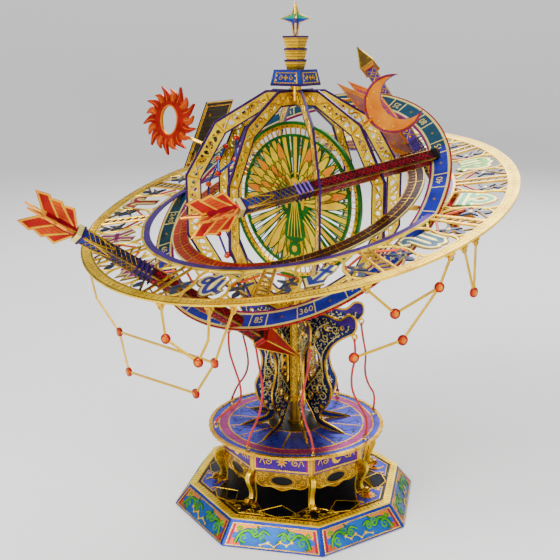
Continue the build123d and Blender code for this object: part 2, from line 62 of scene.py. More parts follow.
ARROW_TAIL = [(-83.0, -93.5, 157.4), (-24.0, -81.5, 151.6), (75.7, -12.5, 139.6)]
ARROW_TIP = [(9.4, -38.0, 84.9), (67.1, 3.7, 168.8), (17.3, 73.4, 213.4)]
ARROW_COLLAR, ARROW_SHAFT, ARROW_HEAD, FLETCH = 50.0, 4.6, [22.0, 9.0, 20.0], 20.0
MOON_R, MOON_BITE_R, MOON_SHIFT = 12.8, 9.7, (4.3, 3.2)
UP = Vector((0, 0, 1))


# ---- planes and flat outlines ----
def polar(radius, azimuth, z=0.0):
    return Vector((radius * cos(radians(azimuth)), radius * sin(radians(azimuth)), z))


def plane(origin, x_dir, z_dir):
    """A frame whose local millimetres become metres in the scene."""
    z = Vector(z_dir).normalized()
    x = (Vector(x_dir) - z * Vector(x_dir).dot(z)).normalized()
    turn = Matrix((x, z.cross(x), z)).transposed().to_4x4()
    turn.translation = Vector(origin)
    return Matrix.Scale(MM, 4) @ turn


def level(z=0.0):
    return plane((0, 0, z), (1, 0, 0), (0, 0, 1))


def radial_plane(azimuth, origin=(0, 0, 0)):
    """Upright, through the origin given: local x runs outward and local y runs up."""
    out = polar(1, azimuth)
    return plane(origin, out, out.cross(UP))


def ring_plane(tilt):
    lean, side = (radians(v) for v in tilt)
    normal = Vector((sin(lean) * cos(side), sin(lean) * sin(side), cos(lean)))
    return plane(CENTRE, (-sin(side), cos(side), 0), normal)


def facing(origin, normal):
    return plane(origin, UP.cross(Vector(normal)), normal)


def turned(angle):
    return Matrix.Rotation(radians(angle), 4, "Z")


def moved(x, y):
    return Matrix.Translation((x, y, 0))


def flipped(points, x=1, y=1):
    """The points with their x or y turned to the other side."""
    return [(a * x, b * y) for a, b in points]


def inside(piece, point):
    """A point of the object, in the piece's own plane."""
    return piece.where.inverted() @ (Vector(point) * MM)


def arc(radius, start, end, steps, centre=(0.0, 0.0)):
    return [(centre[0] + radius * cos(radians(start + (end - start) * k / steps)),
             centre[1] + radius * sin(radians(start + (end - start) * k / steps)))
            for k in range(steps + 1)]


def circle(radius, steps=48, centre=(0.0, 0.0)):
    return arc(radius, 0, 360, steps, centre)[:-1]


def ellipse(rx, ry, steps=32, centre=(0.0, 0.0)):
    return [(centre[0] + rx * cos(tau * k / steps), centre[1] + ry * sin(tau * k / steps))
            for k in range(steps)]


def star(outer, inner, points, turn=90.0, centre=(0.0, 0.0)):
    shape = []
    for k in range(2 * points):
        radius = inner if k % 2 else outer
        angle = radians(turn + 180 * k / points)
        shape.append((centre[0] + radius * cos(angle), centre[1] + radius * sin(angle)))
    return shape


def polygon(radius, sides):
    return [tuple(polar(radius, 360 / sides * (k + 0.5)).xy) for k in range(sides)]


def smooth(points, steps=6, closed=False):
    """A curve through the points, with steps between each two."""
    made = []
    count = len(points)
    for k in range(count if closed else count - 1):
        near = [points[(k + j) % count] if closed else points[min(max(k + j, 0), count - 1)]
                for j in (-1, 0, 1, 2)]
        a, b, c, d = (Vector(p) for p in near)
        for s in range(steps):
            t = s / steps
            made.append(tuple(0.5 * (2 * b + (c - a) * t + (2 * a - 5 * b + 4 * c - d) * t * t
                                     + (3 * b - a - 3 * c + d) * t ** 3)))
    if not closed:
        made.append(tuple(points[-1]))
    return made


def curl(radius, turns=1.25, start=0.0, hand=1, centre=(0.0, 0.0), steps=20):
    """A spiral that tightens towards its centre."""
    made = []
    for k in range(steps + 1):
        t = k / steps
        reach = radius * (1 - 0.82 * t)
        angle = radians(start) + hand * tau * turns * t
        made.append((centre[0] + reach * cos(angle), centre[1] + reach * sin(angle)))
    return made


# ---- finishes ----
def link(tree, a, a_out, b, b_in):
    tree.links.new(a.outputs[a_out], b.inputs[b_in])


def noise(tree, place, scale, detail):
    made = tree.nodes.new("ShaderNodeTexNoise")
    made.inputs["Scale"].default_value = scale
    made.inputs["Detail"].default_value = detail
    tree.links.new(place, made.inputs["Vector"])
    return made


def ramp(tree, source, *stops):
    """Two colours over a noise, each from its own position."""
    made = tree.nodes.new("ShaderNodeValToRGB")
    for stop, (position, colour) in zip(made.color_ramp.elements, stops):
        stop.position = position
        stop.color = (*colour, 1)
    link(tree, source, "Fac", made, "Fac")
    return made


def finish(name, colour, shade, metallic=0.0, roughness=0.3, grain=900.0, bump=0.12, wear=None):
    """Base colour that drifts to a shade, polish that varies, fine grain, and worn flecks."""
    made = bpy.data.materials.new(name)
    made.use_nodes = True
    tree = made.node_tree
    shader = tree.nodes["Principled BSDF"]
    shader.inputs["Metallic"].default_value = metallic
    place = tree.nodes.new("ShaderNodeTexCoord").outputs["Object"]
    base = ramp(tree, noise(tree, place, grain * 0.12, 5), (0.3, shade), (0.62, colour))
    if wear:
        rub = ramp(tree, noise(tree, place, grain * 0.55, 6), (0.72, (0, 0, 0)), (0.8, (1, 1, 1)))
        mix = tree.nodes.new("ShaderNodeMix")
        mix.data_type = "RGBA"
        link(tree, rub, "Color", mix, 0)
        link(tree, base, "Color", mix, 6)
        mix.inputs[7].default_value = (*wear, 1)
        link(tree, mix, 2, shader, "Base Color")
    else:
        link(tree, base, "Color", shader, "Base Color")
    fine = noise(tree, place, grain, 3)
    polish = tree.nodes.new("ShaderNodeMapRange")
    polish.inputs["To Min"].default_value = roughness * 0.7
    polish.inputs["To Max"].default_value = roughness * 1.4
    link(tree, fine, "Fac", polish, "Value")
    link(tree, polish, "Result", shader, "Roughness")
    relief = tree.nodes.new("ShaderNodeBump")
    relief.inputs["Strength"].default_value = bump
    relief.inputs["Distance"].default_value = 0.0002
    link(tree, fine, "Fac", relief, "Height")
    link(tree, relief, "Normal", shader, "Normal")
    return made


GOLD_EDGE = (0.9, 0.66, 0.2)
FINISH = {
    "gold": finish("gold", (0.8, 0.46, 0.006), (0.42, 0.2, 0.003), 1.0, 0.26),
    "pale_gold": finish("pale_gold", (0.86, 0.62, 0.008), (0.64, 0.4, 0.004), 0.8, 0.34),
    "dark_gold": finish("dark_gold", (0.32, 0.18, 0.02), (0.12, 0.06, 0.01), 1.0, 0.32),
    "steel": finish("steel", (0.5, 0.49, 0.46), (0.3, 0.3, 0.29), 1.0, 0.3),
    "mirror": finish("mirror", (0.03, 0.035, 0.05), (0.01, 0.01, 0.02), 0.9, 0.12, bump=0.03),
}
ENAMELS = {
    "navy": ((0.01, 0.018, 0.12), (0.004, 0.006, 0.04)),
    "royal": ((0.008, 0.03, 0.3), (0.004, 0.014, 0.15)),
    "sky": ((0.006, 0.09, 0.36), (0.003, 0.05, 0.22)),
    "teal": ((0.006, 0.07, 0.13), (0.003, 0.03, 0.06)),
    "violet": ((0.06, 0.01, 0.24), (0.026, 0.004, 0.11)),
    "purple": ((0.04, 0.006, 0.1), (0.015, 0.002, 0.045)),
    "magenta": ((0.3, 0.004, 0.15), (0.15, 0.002, 0.07)),
    "pink": ((0.5, 0.02, 0.28), (0.3, 0.01, 0.16)),
    "crimson": ((0.34, 0.002, 0.015), (0.16, 0.0, 0.008)),
    "red": ((0.42, 0.008, 0.001), (0.2, 0.002, 0.001)),
    "orange": ((0.6, 0.07, 0.0), (0.36, 0.025, 0.0)),
    "amber": ((0.74, 0.24, 0.0), (0.56, 0.12, 0.0)),
    "yellow": ((0.78, 0.52, 0.004), (0.6, 0.32, 0.002)),
    "green": ((0.006, 0.12, 0.006), (0.002, 0.05, 0.003)),
    "leaf": ((0.06, 0.32, 0.004), (0.02, 0.16, 0.002)),
    "mint": ((0.01, 0.34, 0.16), (0.005, 0.2, 0.09)),
    "cream": ((0.88, 0.76, 0.24), (0.72, 0.56, 0.12)),
    "tan": ((0.5, 0.2, 0.04), (0.34, 0.12, 0.02)),
    "maroon": ((0.06, 0.004, 0.006), (0.02, 0.002, 0.003)),
    "salmon": ((0.5, 0.07, 0.02), (0.34, 0.035, 0.01)),
    "slate": ((0.022, 0.032, 0.075), (0.01, 0.014, 0.035)),
    "black": ((0.006, 0.006, 0.01), (0.002, 0.002, 0.004)),
    "peri": ((0.022, 0.032, 0.46), (0.008, 0.012, 0.24)),
}
for enamel, (colour, shade) in ENAMELS.items():
    FINISH[enamel] = finish(enamel, colour, shade, 0.75, 0.34, 1100.0, 0.1, GOLD_EDGE)


# ---- objects and meshes ----
def show(made):
    bpy.context.scene.collection.objects.link(made)
    return made


def turn_out(mesh, upward=False):
    """Turn the faces outward, or a floor's upward."""
    sheet = bmesh.new()
    sheet.from_mesh(mesh)
    bmesh.ops.recalc_face_normals(sheet, faces=sheet.faces)
    if upward and sheet.faces[0].normal.z < 0:
        bmesh.ops.reverse_faces(sheet, faces=sheet.faces)
    sheet.to_mesh(mesh)
    sheet.free()


# ---- one visible piece, gathered from flat shapes in several finishes ----
class Piece:
    def __init__(self, name, where):
        self.name = name
        self.where = where
        self.points = []
        self.faces = []
        self.marks = []
        self.used = []

    def add(self, points, faces, finish_name, turn=None):
        if finish_name not in self.used:
            self.used.append(finish_name)
        mark = self.used.index(finish_name)
        place = self.where @ turn if turn is not None else self.where
        first = len(self.points)
        self.points += [place @ Vector(p) for p in points]
        self.faces += [[first + k for k in face] for face in faces]
        self.marks += [mark] * len(faces)

    def plate(self, loops, low, high, finish_name, turn=None):
        """A flat outline, its first loop, less its holes, raised from low to high."""
        flat = [Vector((p[0], p[1], 0)) for loop in loops for p in loop]
        count = len(flat)
        triangles = tessellate_polygon([[Vector((p[0], p[1], 0)) for p in loop] for loop in loops])
        points = [(p.x, p.y, low) for p in flat] + [(p.x, p.y, high) for p in flat]
        faces = [list(t) for t in triangles] + [[k + count for k in reversed(t)] for t in triangles]
        first = 0
        for loop in loops:
            size = len(loop)
            for k in range(size):
                a, b = first + k, first + (k + 1) % size
                faces.append([a, b, b + count, a + count])
            first += size
        self.add(points, faces, finish_name, turn)

    def slab(self, loops, half, finish_name, turn=None):
        """A plate centred on the plane, half its thickness to each side."""
        self.plate(loops, -half, half, finish_name, turn)

    def rib(self, line, width, half, finish_name, turn=None, closed=False, end_width=None):
        """A strip centred on the plane, half its thickness to each side."""
        self.strip(line, width, -half, half, finish_name, turn, closed, end_width)

    def strip(self, line, width, low, high, finish_name, turn=None, closed=False, end_width=None):
        """A ribbon along a line, with its edges chamfered on both faces."""
        count = len(line)
        path = [Vector(p) for p in line]
        points = []
        for k, here in enumerate(path):
            before = path[k - 1] if closed or k else here
            after = path[(k + 1) % count] if closed or k < count - 1 else here
            way_in = (here - before) if (here - before).length > 1e-9 else (after - here)
            way_out = (after - here) if (after - here).length > 1e-9 else (here - before)
            if way_in.length < 1e-9 or way_out.length < 1e-9:
                way_in = way_out = Vector((1, 0))
            way_in, way_out = way_in.normalized(), way_out.normalized()
            normal = Vector((-way_in.y - way_out.y, way_in.x + way_out.x))
            normal = normal.normalized() if normal.length > 1e-6 else Vector((-way_in.y, way_in.x))
            mitre = 1 / max(0.5, normal.dot(Vector((-way_in.y, way_in.x))))
            wide = width if end_width is None else width + (end_width - width) * k / (count - 1)
            half = normal * wide / 2 * mitre
            edge = ((0.7, low), (1.0, low * 0.75 + high * 0.25), (1.0, low * 0.25 + high * 0.75), (0.7, high))
            points += [(*(here + half * share), height) for share, height in edge]
            points += [(*(here - half * share), height) for share, height in reversed(edge)]
        faces = []
        for k in range(count if closed else count - 1):
            a, b = 8 * k, 8 * ((k + 1) % count)
            for j in range(8):
                faces.append([a + j, a + (j + 1) % 8, b + (j + 1) % 8, b + j])
        if not closed:
            faces += [list(range(8)), [8 * (count - 1) + j for j in reversed(range(8))]]
        self.add(points, faces, finish_name, turn)

    def loft(self, sections, finish_name, turn=None):
        """A closed solid through loops of equally many points in space."""
        size = len(sections[0])
        points = [p for section in sections for p in section]
        faces = [list(range(size)), [size * (len(sections) - 1) + k for k in reversed(range(size))]]
        for s in range(len(sections) - 1):
            for k in range(size):
                a, b = s * size + k, s * size + (k + 1) % size
                faces.append([a, b, b + size, a + size])
        self.add(points, faces, finish_name, turn)

    def lathe(self, profile, sides, finish_name, turn=None, offset=0.5):
        """Stations of (radius, height) as rings about local z."""
        rings = [[(*polar(r, 360 / sides * (k + offset)).xy, z) for k in range(sides)]
                 for r, z in profile]
        self.loft(rings, finish_name, turn)

    def bar(self, profile, finish_name, offset=0):
        """A square bar along local z, by stations of (half diagonal, height)."""
        self.lathe(profile, 4, finish_name, None, offset)

    def wire(self, line, radius, finish_name, sides=8, closed=False):
        """A round wire through points in space."""
        path = [Vector(p) for p in line]
        count = len(path)
        side = None
        rings = []
        for k in range(count):
            before = path[k - 1] if closed or k else path[k]
            after = path[(k + 1) % count] if closed or k < count - 1 else path[k]
            along = (after - before).normalized()
            if side is None:
                side = along.orthogonal()
            side = (side - along * side.dot(along)).normalized()
            across = along.cross(side)
            rings.append([tuple(path[k] + (side * cos(tau * j / sides) + across * sin(tau * j / sides))
                                * radius) for j in range(sides)])
        if closed:
            rings.append(rings[0])
        self.loft(rings, finish_name)

    def ball(self, centre, radius, finish_name, flat=1.0, sides=14):
        rows = 8
        rings = []
        for row in range(1, rows):
            tilt = pi * row / rows
            rings.append([(centre[0] + radius * sin(tilt) * cos(tau * k / sides),
                           centre[1] + radius * sin(tilt) * sin(tau * k / sides),
                           centre[2] - radius * flat * cos(tilt)) for k in range(sides)])
        self.loft(rings, finish_name)

    def merge(self, part):
        """Take in a part that was drawn on another plane."""
        back = self.where.inverted()
        for name in part.used:
            keep = [face for face, mark in zip(part.faces, part.marks) if part.used[mark] == name]
            kept = sorted({k for face in keep for k in face})
            index = {k: number for number, k in enumerate(kept)}
            faces = [[index[k] for k in face] for face in keep]
            self.add([back @ part.points[k] for k in kept], faces, name)

    def done(self, body, nodes=(), soften=False):
        mesh = bpy.data.meshes.new(self.name)
        mesh.from_pydata([tuple(p) for p in self.points], [], self.faces)
        for finish_name in self.used:
            mesh.materials.append(FINISH[finish_name])
        mesh.polygons.foreach_set("material_index", self.marks)
        turn_out(mesh)
        if soften:
            mesh.shade_smooth()
            mesh.set_sharp_from_angle(angle=radians(38))
        made = show(bpy.data.objects.new(self.name, mesh))
        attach(made, body)
        if nodes:
            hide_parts(*nodes)
        return made


# ---- camera, light and stage ----
def camera():
    """The photo's view, by the directions that lie right, up and back in it."""
    eye = bpy.data.cameras.new("camera")
    eye.lens = 58.02
    eye.sensor_width = 36
    made = bpy.data.objects.new("camera", eye)
    right, up, back = (0.9774, 0.2113, -0.0056), (-0.0486, 0.2501, 0.9670), (0.2057, -0.9449, 0.2547)
    made.matrix_world = Matrix((right, up, back)).transposed().to_4x4()
    made.location = Vector((79.2, -398.3, 215.9)) * MM
    bpy.context.scene.camera = show(made)


def lights():
    aim = Vector((0, 0, 0.12))
    for name, place, size, power in (("key", (-0.45, -0.6, 0.85), 0.5, 14.0),
                                     ("fill", (0.75, -0.5, 0.5), 0.6, 6.0),
                                     ("back", (0.1, 0.7, 0.8), 0.6, 9.0),
                                     ("low", (-0.1, -0.8, 0.12), 0.4, 2.5)):
        lamp = bpy.data.lights.new(name, "AREA")
        lamp.size = size
        lamp.energy = power
        made = show(bpy.data.objects.new(name, lamp))
        made.location = place
        made.rotation_euler = (Vector(place) - aim).to_track_quat("Z", "Y").to_euler()
    world = bpy.data.worlds.new("studio")
    bpy.context.scene.world = world
    world.use_nodes = True
    tree = world.node_tree
    place = tree.nodes.new("ShaderNodeTexCoord").outputs["Generated"]
    sky = ramp(tree, noise(tree, place, 2.4, 2), (0.42, (0.06, 0.065, 0.08)), (0.56, (0.85, 0.85, 0.85)))
    link(tree, sky, "Color", tree.nodes["Background"], "Color")


def backdrop():
    """A round pale floor that bends up into a low wall on every side, in metres."""
    floor_r, bend_r, wall_top, spokes = 1.3, 0.5, 0.7, 96
    bend = [(floor_r + bend_r * sin(radians(a)), bend_r - bend_r * cos(radians(a)))
            for a in range(10, 91, 10)]
    profile = [(0.3, 0.0), (1.2, 0.0), (floor_r, 0.0), *bend, (floor_r + bend_r, wall_top)]
    points = [tuple(polar(r, 360 / spokes * k, z)) for r, z in profile for k in range(spokes)]
    faces = []
    for row in range(len(profile) - 1):
        for k in range(spokes):
            a, b = spokes * row + k, spokes * row + (k + 1) % spokes
            faces.append([a, b, b + spokes, a + spokes])
    faces.append(list(reversed(range(spokes))))
    mesh = bpy.data.meshes.new("floor")
    mesh.from_pydata(points, [], faces)
    turn_out(mesh, True)
    mesh.shade_smooth()
    FINISH["floor"] = finish("floor", (0.86, 0.86, 0.86), (0.84, 0.84, 0.84), 0, 0.7, 8, 0.0)
    mesh.materials.append(FINISH["floor"])
    floor = show(bpy.data.objects.new("floor", mesh))
    floor.location.z = -0.0002


# ---- eight slack red threads ----
CORD_TOP = (FIN_EYE_R, 0.0, FIN_EYE_Z - EYE_R - CORD_GAP)
CORD_FOOT = (EYELET_R, 0.0, DECK_TOP + 2 * EYE_R + CORD_GAP)
CORD_ROUTES = [
    [(33.0, 0.6, 78.0), (34.4, -0.8, 70.6), (33.2, -2.4, 62.8), (35.4, -1.4, 55.0), (40.0, 0.2, 48.4)],
    [(32.6, -0.4, 77.6), (30.8, 0.8, 69.6), (31.6, 2.4, 61.4), (35.2, 1.8, 53.6), (38.6, 0.4, 47.6)],
    [(33.2, 0.4, 78.6), (33.4, 2.0, 71.0), (31.2, 2.6, 63.2), (32.6, 0.8, 55.6), (37.0, -0.4, 48.6)],
    [(31.6, 0.6, 78.4), (28.4, 1.4, 70.8), (27.6, 0.6, 62.4), (31.0, -0.8, 54.6), (36.4, -0.6, 48.2)],
    [(32.6, 2.2, 78.2), (30.4, 6.0, 70.4), (27.8, 8.4, 62.0), (27.6, 7.4, 53.4), (33.8, 2.6, 47.6)],
    [(32.4, 1.6, 77.8), (33.6, 4.8, 69.2), (35.6, 5.6, 60.4), (37.0, 3.8, 52.2), (38.4, 1.2, 46.8)],
    [(33.0, -0.8, 78.2), (34.6, -3.2, 70.0), (34.2, -4.6, 61.6), (36.8, -3.4, 53.8), (39.6, -1.0, 47.8)],
    [(33.2, -0.6, 78.4), (32.2, -2.8, 70.6), (33.4, -4.6, 62.8), (38.2, -4.2, 55.8), (40.6, -1.4, 48.8)],
]


def thread_finish():
    """Matt red thread with a fine rough grain."""
    made = finish("thread", (0.5, 0.004, 0.006), (0.24, 0.001, 0.003), 0, 0.6, 2600, 0.4)
    made.node_tree.nodes["Principled BSDF"].inputs["Sheen Weight"].default_value = 0.1
    return made


def cords():
    FINISH["thread"] = thread_finish()
    for number, (route, azimuth) in enumerate(zip(CORD_ROUTES, CORNERS), 1):
        out, side = polar(1, azimuth), polar(1, azimuth + 90)
        points = [(out * r + side * s + UP * z) * MM for r, s, z in (CORD_TOP, *route, CORD_FOOT)]
        curve = bpy.data.curves.new(f"thread_{number}", "CURVE")
        curve.dimensions = "3D"
        curve.bevel_depth = CORD_D / 2 * MM
        curve.bevel_resolution = 3
        curve.resolution_u = 10
        spline = curve.splines.new("NURBS")
        spline.points.add(len(points) - 1)
        for control, point in zip(spline.points, points):
            control.co = (*point, 1)
        spline.order_u = 3
        spline.use_endpoint_u = True
        curve.materials.append(FINISH["thread"])
        line = show(bpy.data.objects.new(f"thread_{number}", curve))
        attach(line, "stand")
        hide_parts(f"cord_{number}")
        knots = thread_ends(number, azimuth)


def thread_ends(number, azimuth):
    """The loop through each eye, and the knot where it closes."""
    piece = Piece(f"thread_knots_{number}", radial_plane(azimuth))
    for x, eye_z, knot_z in ((FIN_EYE_R, FIN_EYE_Z - EYE_R + 0.4, CORD_TOP[2]),
                             (EYELET_R, DECK_TOP + 2 * EYE_R - 0.6, CORD_FOOT[2])):
        middle = (eye_z + knot_z) / 2
        tall = abs(eye_z - knot_z) / 2 + 0.1
        loop = [(x + 0.2 * sin(tau * k / 16), middle + tall * cos(tau * k / 16),
                 0.75 * sin(tau * k / 16)) for k in range(16)]
        piece.wire(loop, 0.3, "thread", closed=True, sides=6)
        piece.ball((x, knot_z, 0), 0.72, "thread", sides=10)
    return piece.done("stand", soften=True)


camera()
lights()
backdrop()
cords()


# ---- zodiac ring: signs in cartouches between double ribs ----
SIGN_PHASE, SIGN_R, SIGN_HIGH, SIGN_WIDE = 2.9, 82.7, 7.4, 6.2
SIGNS = [
    ("mint", [[(-1, -0.8), (1, -0.8)],
              smooth([(-1, -0.3), (-0.35, -0.3), (-0.6, 0.3), (0, 0.85), (0.6, 0.3), (0.35, -0.3),
                      (1, -0.3)])]),
    ("leaf", [[(-0.8, 0.8), (-0.8, -0.7)], smooth([(-0.8, 0.5), (-0.5, 0.9), (-0.25, 0.5), (-0.25, -0.7)]),
              smooth([(-0.25, 0.5), (0.05, 0.9), (0.3, 0.5), (0.3, -0.4), (0.8, -1)]),
              smooth([(0.3, 0.4), (0.75, 0.6), (0.75, 0), (0.1, -0.9)])]),
    ("green", [circle(0.3, 16, (-0.5, -0.2)) + [(-0.2, -0.2)],
               smooth([(-0.25, 0), (-0.4, 0.6), (0, 1), (0.4, 0.6), (0.1, -0.4), (0.35, -0.9),
                       (0.75, -0.7)])]),
    ("yellow", [circle(0.28, 16, (-0.5, 0.3)), smooth([(-0.75, 0.5), (0, 0.85), (0.85, 0.5)]),
                circle(0.28, 16, (0.5, -0.3)), smooth([(0.75, -0.5), (0, -0.85), (-0.85, -0.5)])]),
    ("amber", [smooth([(-0.8, 1), (0, 0.75), (0.8, 1)]), smooth([(-0.8, -1), (0, -0.75), (0.8, -1)]),
               [(-0.35, 0.8), (-0.35, -0.8)], [(0.35, 0.8), (0.35, -0.8)]]),
    ("orange", [circle(0.5, 20, (0, -0.4)),
                smooth([(-0.8, 1), (-0.4, 0.35), (0, 0.15), (0.4, 0.35), (0.8, 1)])]),
    ("red", [smooth([(-0.9, 0.35), (-0.75, 0.9), (-0.2, 0.75), (0, 0), (0, -1)]),
             smooth([(0.9, 0.35), (0.75, 0.9), (0.2, 0.75), (0, 0), (0, -1)])]),
    ("magenta", [smooth([(-0.8, 1), (-0.3, 0), (-0.8, -1)]), smooth([(0.8, 1), (0.3, 0), (0.8, -1)]),
                 [(-0.75, 0), (0.75, 0)]]),
    ("magenta", [[(-1, 0.1), (-0.6, 0.65), (-0.25, 0.1), (0.15, 0.65), (0.5, 0.1), (0.9, 0.65)],
                 [(-1, -0.7), (-0.6, -0.15), (-0.25, -0.7), (0.15, -0.15), (0.5, -0.7), (0.9, -0.15)]]),
    ("royal", [smooth([(-0.9, 0.8), (-0.5, 0.5), (-0.5, -0.5)]),
               smooth([(-0.5, 0.4), (-0.1, 0.9), (0.2, 0.4), (0.2, -0.4), (-0.15, -1)]),
               circle(0.3, 16, (0.52, -0.4))]),
    ("royal", [[(-0.8, -0.8), (0.8, 0.8)], [(0.05, 0.8), (0.8, 0.8), (0.8, 0.05)], [(-0.6, 0), (0, -0.6)]]),
    ("teal", [[(-0.8, 0.8), (-0.8, -0.7)], smooth([(-0.8, 0.5), (-0.5, 0.9), (-0.25, 0.5), (-0.25, -0.7)]),
              smooth([(-0.25, 0.5), (0.05, 0.9), (0.3, 0.5), (0.3, -0.5), (0.5, -0.9), (0.9, -0.6)]),
              [(0.65, -0.4), (0.92, -0.58), (0.75, -0.92)]]),
]


def bands(piece, rows, steps=144):
    """Flat rings, each a row of outer radius, inner radius, half thickness and finish."""
    for outer, inner, half, finish_name in rows:
        piece.slab([circle(outer, steps), circle(inner, steps)], half, finish_name)


def is_loop(stroke):
    """Whether a long stroke's ends lie within one step of each other."""
    first, second, last = Vector(stroke[0]), Vector(stroke[1]), Vector(stroke[-1])
    return len(stroke) > 8 and (first - last).length < 1.01 * (second - first).length


def hook_point(azimuth):
    """The hinge point under the zodiac ring's outer band at a compass azimuth."""
    up = (ring_plane(ZODIAC_TILT).to_3x3() @ UP).normalized()
    out = polar(1, azimuth)
    along = Vector((out.x, out.y, -(up.x * out.x + up.y * out.y) / up.z)).normalized()
    return CENTRE + along * 96.4 - up * 2.2


PENDANTS = {
    "pendant_left": ((-163.6, -93.0), [(-2.6, 4.6), (25.4, 32.9), (32.5, 49.6), (84.3, 42.3), (97.2, 25.3)],
                     [(5.6, 22.2)],
                     [("h0", 0), (0, "k0"), ("k0", 1), (1, 2), (2, 3), (3, 4), (4, "h1"), (1, 4)]),
    "pendant_front": ((-112.5, -98.9), [(1.0, 13.8), (15.2, 21.8)], [(20.6, 12.6)],
                      [("h0", 0), (0, 1), (1, "k0"), ("k0", "h1")]),
    "pendant_right": ((-63.6, -42.2), [(9.4, 14.2), (29.6, 10.8), (10.4, 25.5), (-10.5, 24.6)], [],
                      [("h0", 0), (0, 1), (1, "h1"), (1, 2), (2, 3)]),
    "pendant_drop": ((-37.8, -33.6), [(2.6, 20.5)], [], [("h0", 0), ("h1", 0)]),
}


def zodiac_ring():
    piece = Piece("zodiac_ring_detailed", ring_plane(ZODIAC_TILT))
    bands(piece, ((ZODIAC[0], 93.8, 0.36, "pale_gold"), (98.7, 98.1, 0.5, "gold"), (94.6, 94.0, 0.5, "gold")))
    for k in range(180):
        piece.rib([(95.2, 0), (97.6, 0)], 0.5, 0.46, "gold", turned(2 * k))
        piece.slab([star(0.55, 0.25, 4, 0, (96.4, 1.65))], 0.46, "gold", turned(2 * k))
    bands(piece, ((71.6, 70.6, 0.42, "pale_gold"), (70.6, ZODIAC[1], 0.34, "violet")))
    waist = [(71.2, -7.2), (76, -9.4), (SIGN_R, -8.2), (89.4, -9.4), (94.2, -7.0)]
    cartouche = smooth([*waist, (94.6, 0), *flipped(reversed(waist), 1, -1), (70.8, 0)], 5, True)
    braces = (((76, 9.2), (71.4, 13.2), "pale_gold"), ((89.4, 9.2), (94.2, 15.0), "pale_gold"),
              ((SIGN_R, 8.2), (91.5, 19.0), "dark_gold"), ((SIGN_R, 8.2), (73.5, 16.2), "orange"))
    leaf = [(86.6, 13.6), (89.4, 12.4), (91.9, 13.4), (89.2, 15.2)]
    for number, (colour, strokes) in enumerate(SIGNS):
        sector = turned(15 + 30 * number + SIGN_PHASE)
        piece.rib(cartouche, 1.2, 0.42, "yellow", sector, True)
        for stroke in strokes:
            line = [(SIGN_R + SIGN_HIGH * y, -SIGN_WIDE * x) for x, y in stroke]
            for width, half, layer in ((5.6, 0.3, "dark_gold"), (5.0, 0.36, "cream"), (2.4, 0.48, colour)):
                piece.rib(line, width, half, layer, sector, is_loop(stroke))
        for side in (-1, 1):
            for near, far, layer in braces:
                piece.rib(flipped((near, far), 1, side), 1.0, 0.36, layer, sector)
            spot = (83.4, 13.0 * side)
            piece.slab([star(5.4, 1.5, 4, 45, spot)], 0.4, "slate", sector)
            piece.slab([circle(0.8, 12, spot)], 0.5, "gold", sector)
            piece.slab([smooth(flipped(leaf, 1, side), 4, True)], 0.36, "slate", sector)
        between = turned(30 * number + SIGN_PHASE)
        for side in (-1, 1):
            piece.rib([(71.0, 2.0 * side), (94.4, 2.6 * side)], 1.3, 0.46, "gold", between)
        for step in range(6):
            start = 73.2 + 3.6 * step
            piece.rib([(start, -1.8), (start + 2.0, 1.8)], 0.6, 0.36, "dark_gold", between)
    up = (ring_plane(ZODIAC_TILT).to_3x3() @ UP).normalized()
    for hooks, *_ in PENDANTS.values():
        ends = [hook_point(azimuth) for azimuth in hooks]
        along = (ends[1] - ends[0]).normalized()
        for end in ends:
            piece.wire([inside(piece, end + along * s) for s in (-2.0, 2.0)], 0.45, "gold")
            for side in (-1, 1):
                foot = end + along * 1.6 * side
                piece.wire([inside(piece, foot + up * s) for s in (-0.6, 1.9)], 0.5, "gold")
    return piece.done("globe", ["zodiac_ring"])


# ---- numeral ring and tick ring ----
def lettering(text, size):
    """A numeral as a thin solid, centred on the origin."""
    curve = bpy.data.curves.new("numeral", "FONT")
    curve.body = text
    curve.size = size
    curve.align_x = "CENTER"
    curve.align_y = "CENTER"
    curve.resolution_u = 3
    curve.extrude = 0.45
    holder = bpy.data.objects.new("numeral", curve)
    mesh = bpy.data.meshes.new_from_object(holder)
    points = [tuple(v.co) for v in mesh.vertices]
    faces = [list(p.vertices) for p in mesh.polygons]
    bpy.data.objects.remove(holder)
    bpy.data.meshes.remove(mesh)
    bpy.data.curves.remove(curve)
    return points, faces


def numeral_ring():
    piece = Piece("numeral_ring_detailed", ring_plane(NUMERAL_TILT))
    bands(piece, ((72.0, 71.0, 0.42, "cream"), (64.9, 64.0, 0.42, "cream"), (NUMERAL[0], 72.0, 0.38, "red"),
                  (64.0, NUMERAL[1], 0.38, "magenta")))
    notch = [(72.5, -0.3), (NUMERAL[0], -0.3), (NUMERAL[0], 0.3), (72.5, 0.3)]
    for k in range(144):
        piece.slab([notch], 0.42, "black", turned(2.5 * k))
    panels, middle = 20, 67.9
    step = 360 // panels
    panel = arc(71.1, 0, step, 8) + arc(64.8, step, 0, 8)
    for k in range(panels):
        front = 90 < (step * k + 60) % 360 < 270
        piece.slab([panel], 0.34, "teal" if front else "peri", turned(step * k))
        for side in (3.2, step - 3.2):
            edge = [tuple(polar(r, side).xy) for r in (64.8, 66.4, 68, 69.6, 71.1)]
            bowed = [(x + (0.5 if j % 2 else 0), y) for j, (x, y) in enumerate(edge)]
            piece.rib(bowed, 0.6, 0.42, "cream", turned(step * k))
        points, faces = lettering(str(20 * (k + 1) if k % 2 else 5 * (k + 1)), 4.2)
        piece.add(points, faces, "cream", turned(step * k) @ moved(middle, 0) @ turned(90))
        piece.slab([star(0.9, 0.35, 4, 0, (middle, 0))], 0.4, "gold", turned(step * (k + 0.5)))
    return piece.done("globe", ["numeral_ring"])


